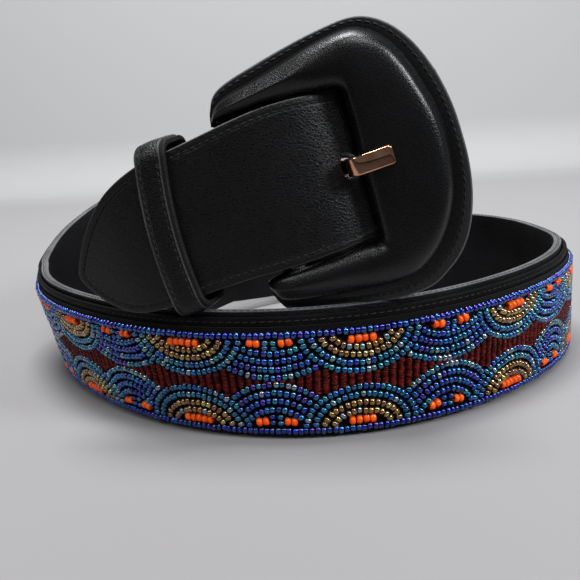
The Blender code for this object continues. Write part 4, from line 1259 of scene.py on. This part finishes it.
def beadFinish(name, look):
    shine = look["shine"]
    mat, tree, place = newFinish(name, **{
        "Metallic": look["metal"], "Specular IOR Level": shine, "Coat Weight": shine ** 0.5,
        "Coat Roughness": glass["coatRough"], "Coat IOR": 1.35 + 0.15 * shine})
    swirl = addNoise(tree, place, glass["swirls"], 1.0)
    shift = addMath(tree, "MULTIPLY_ADD", swirl, look["swirl"], readAttribute(tree, "tint"))
    last = len(look["colors"]) - 1
    color = addRamp(tree, shift, [(0.12 + 0.85 * k / last, stop) for k, stop in enumerate(look["colors"])])
    dull = 0.3 * (1 - shine) ** 4
    rough = addRamp(tree, swirl, greyStops((0.3, glass["smooth"] + dull), (0.7, glass["rough"] + dull)))
    return fillFinish(mat, {"Base Color": color, "Roughness": rough}, [(swirl, glass["waves"], 0.6)])


def ringCurve(along, reach, radius=None):
    # the part of a scallop's ring above the border: half an ellipse, or a cut circle
    if radius is None:
        angle = np.linspace(0, math.pi, 600)
        return np.stack([along * np.cos(angle), reach * np.sin(angle)], 1)
    drop = radius - reach
    limit = math.acos(drop / radius)
    angle = np.linspace(math.pi / 2 - limit, math.pi / 2 + limit, 600)
    return np.stack([radius * np.cos(angle), radius * np.sin(angle) - drop], 1)


def evenPoints(line, pitch):
    # place and direction at an even spacing
    run = lengthsAlong(line)
    count = max(1, round(run[-1] / pitch))
    s = (np.arange(count) + 0.5) * run[-1] / count
    step = columnsAt(s + 0.2, run, line) - columnsAt(s - 0.2, run, line)
    return np.column_stack([columnsAt(s, run, line), np.arctan2(step[:, 1], step[:, 0])])


def chartBeads(runs, lengths):
    # for each kind of glass, rows of (length along the face, height, direction, length, diameter)
    places = [beading["firstGold"], panel["start"] + panel["endMargin"], panel["end"] - panel["endMargin"]]
    firstGold, start, end = np.interp(places, runs, lengths)
    start, end = start + beading["endRoom"], end - beading["endRoom"]
    beads = {name: [] for name in beadLooks}

    def add(mix, size, g, v, direction=0):
        if start < g < end:
            kinds = mixes[mix]
            kind = list(kinds)[int(rng.choice(len(kinds), p=list(kinds.values())))]
            beads[kind].append((g, v, direction, *beadSizes[size][:2]))

    def addRing(mix, curve, middle, border):
        for x, y, turn in evenPoints(curve, beadSizes["ring"][2]):
            add(mix, "ring", middle + x, border["line"] + border["side"] * y, turn * border["side"])

    count = round((end - start) / beadSizes["border"][2])
    for k in range(count + 1):
        for border in borders:
            add("rim", "border", start + (end - start) * k / count, border["line"])
    period, wider = beading["repeat"], beading["wider"]
    firstStep = math.floor((start - firstGold) / period) - 1
    steps = range(firstStep, firstStep + 40)
    golds = [firstGold + period * k - wider * min(max(-2 - k, 0), 1) for k in steps]
    golds = [g for g in golds if start - 30 < g < end + 30]
    blues = [(a + b) / 2 for a, b in zip(golds[:-1], golds[1:])]
    blues = [golds[0] - period / 2] + blues + [golds[-1] + period / 2]

    def isFree(g, rise, rings):
        along, reach = rings[-1][0] + beading["goldRoom"], rings[-1][1] + beading["goldRoom"]
        inside = any(((g - c) / along) ** 2 + (rise / reach) ** 2 < 1 for c in golds)
        return rise > beading["firstRise"] and not inside

    def reachAt(g, border):
        # how far the scallops of a border reach at this place
        value = 0.0
        along, reach, _ = border["goldRings"][-1]
        for c in golds:
            d = (g - c) / along
            if abs(d) < 1:
                value = max(value, reach * math.sqrt(1 - d * d))
        radius, reach, _ = border["blueRings"][-1]
        for c in blues:
            d = abs(g - c)
            if d < radius:
                value = max(value, math.sqrt(radius ** 2 - d * d) - radius + reach)
        return value

    def columnEnd(g, border):
        reach = max(reachAt(g + x, border) for x in (-0.9, 0, 0.9))
        return border["line"] + border["side"] * (reach + beading["columnRoom"])

    for border in borders:
        side, line = border["side"], border["line"]
        for c in golds:
            for along, reach, mix in border["goldRings"]:
                curve = ringCurve(along, reach)
                addRing(mix, curve[curve[:, 1] > beading["firstRise"]], c, border)
            number = 4 + int(rng.random() < border["fifthDot"])
            for k in range(number):
                shift = (k - (number - 1) / 2) * beadSizes["orange"][2]
                add("orange", "orange", c + shift, line + side * beading["dotRise"])
        for c in blues:
            for radius, reach, mix in border["blueRings"]:
                curve = ringCurve(0, reach, radius)
                curve = curve[[isFree(c + x, y, border["goldRings"]) for x, y in curve]]
                if len(curve) > 20:
                    addRing(mix, curve, c, border)
            for x in beading["dotPlaces"]:
                rise = border["dotRise"] - abs(x) * 0.1
                add("orange", "orange", c + x, line + side * rise, -0.05 * x * side)
            for x in beading["stemPlaces"]:
                for y in border["stemRises"]:
                    add("first", "column", c + x, line + side * y, math.pi / 2)

    pitch, thin = beading["columnPitch"], beadSizes["disc"][2]
    for k in range(int((end - start) / pitch)):
        g = start + pitch * (k + 0.5)
        low, high = [columnEnd(g, border) for border in borders]
        number = int((high - low + 0.9) / thin)
        for j in range(number):
            add("maroon", "disc", g, (low + high) / 2 + (j - (number - 1) / 2) * thin, math.pi / 2)
    return beads


def beadMesh(kind, rows, runs, lengths):
    g, v, direction, length, diameter = np.array(rows).T
    count = len(rows)
    g = g + rng.normal(0, beading["jitter"], count)
    v = v + rng.normal(0, beading["jitter"] * np.minimum(1, length / 1.5), count)
    direction = direction + rng.normal(0, beading["wobble"], count)
    length = length * rng.normal(1, 0.05, count)
    diameter = diameter * rng.normal(1, 0.04, count)
    run = np.interp(g, lengths, runs)
    out = beading["beadOut"] + rng.normal(0, 0.04, count)
    middle = onStrap(run, v, out)
    width, face = unit(routeValue("width", run)), unit(routeValue("face", run))
    tangent = np.cross(width, face)
    ahead = onStrap(run + 0.5, v, out) - middle
    tangent *= np.sign(np.sum(tangent * ahead, axis=1))[:, None]
    axis = tangent * np.cos(direction)[:, None] + width * np.sin(direction)[:, None]
    side = np.cross(face, axis)
    shape = discShape if kind == "maroon" else roundShape
    sides = beading["sides"]
    turn = rng.uniform(0, math.pi / sides * 2, count)[:, None] + ringAngles(sides)
    around = side[:, None] * np.cos(turn)[..., None] + face[:, None] * np.sin(turn)[..., None]
    along = np.outer(length, shape[:, 0])[..., None, None]
    radius = np.outer(diameter, shape[:, 1])[..., None, None] / 2
    points = middle[:, None, None] + axis[:, None, None] * along + around[:, None] * radius
    step = len(shape) * sides
    tint = np.repeat(rng.uniform(0, 0.75, count), step)
    faces = repeatFaces(tubeFaces(len(shape), sides, True), count, step)
    finish = beadFinish(kind + "Glass", beadLooks[kind])
    obj = makeMesh(kind + "Beads", points, [faces], finish, {"tint": tint}, None)
    addPiece(obj, "bead_panel", "bead_panel")
    print("%s: %d beads, %d triangles" % (kind, count, 2 * len(obj.data.polygons)))


def buildBeading():
    runs = stationRuns(panel["start"] + panel["endMargin"], panel["end"] - panel["endMargin"])
    bed = sweepStrip("feltBed", *edgePair(runs, beading["bedLow"], beading["bedHigh"]), blackFelt,
                     stripSection(False, False, 0.12), panel["far"] + strap["gap"], beading["bedOut"],
                     columns=3)
    addPiece(bed, "bead_panel", "bead_panel")
    # strap run against length along the bead face
    runs = np.arange(panel["start"] - 5, panel["end"] + 5, 0.25)
    lengths = lengthsAlong(onStrap(runs, strap["width"] / 2, beading["beadOut"]))
    beads = chartBeads(runs, lengths)
    for kind, rows in beads.items():
        beadMesh(kind, rows, runs, lengths)
    print("beads: %d" % sum(len(rows) for rows in beads.values()))


buildBeading()
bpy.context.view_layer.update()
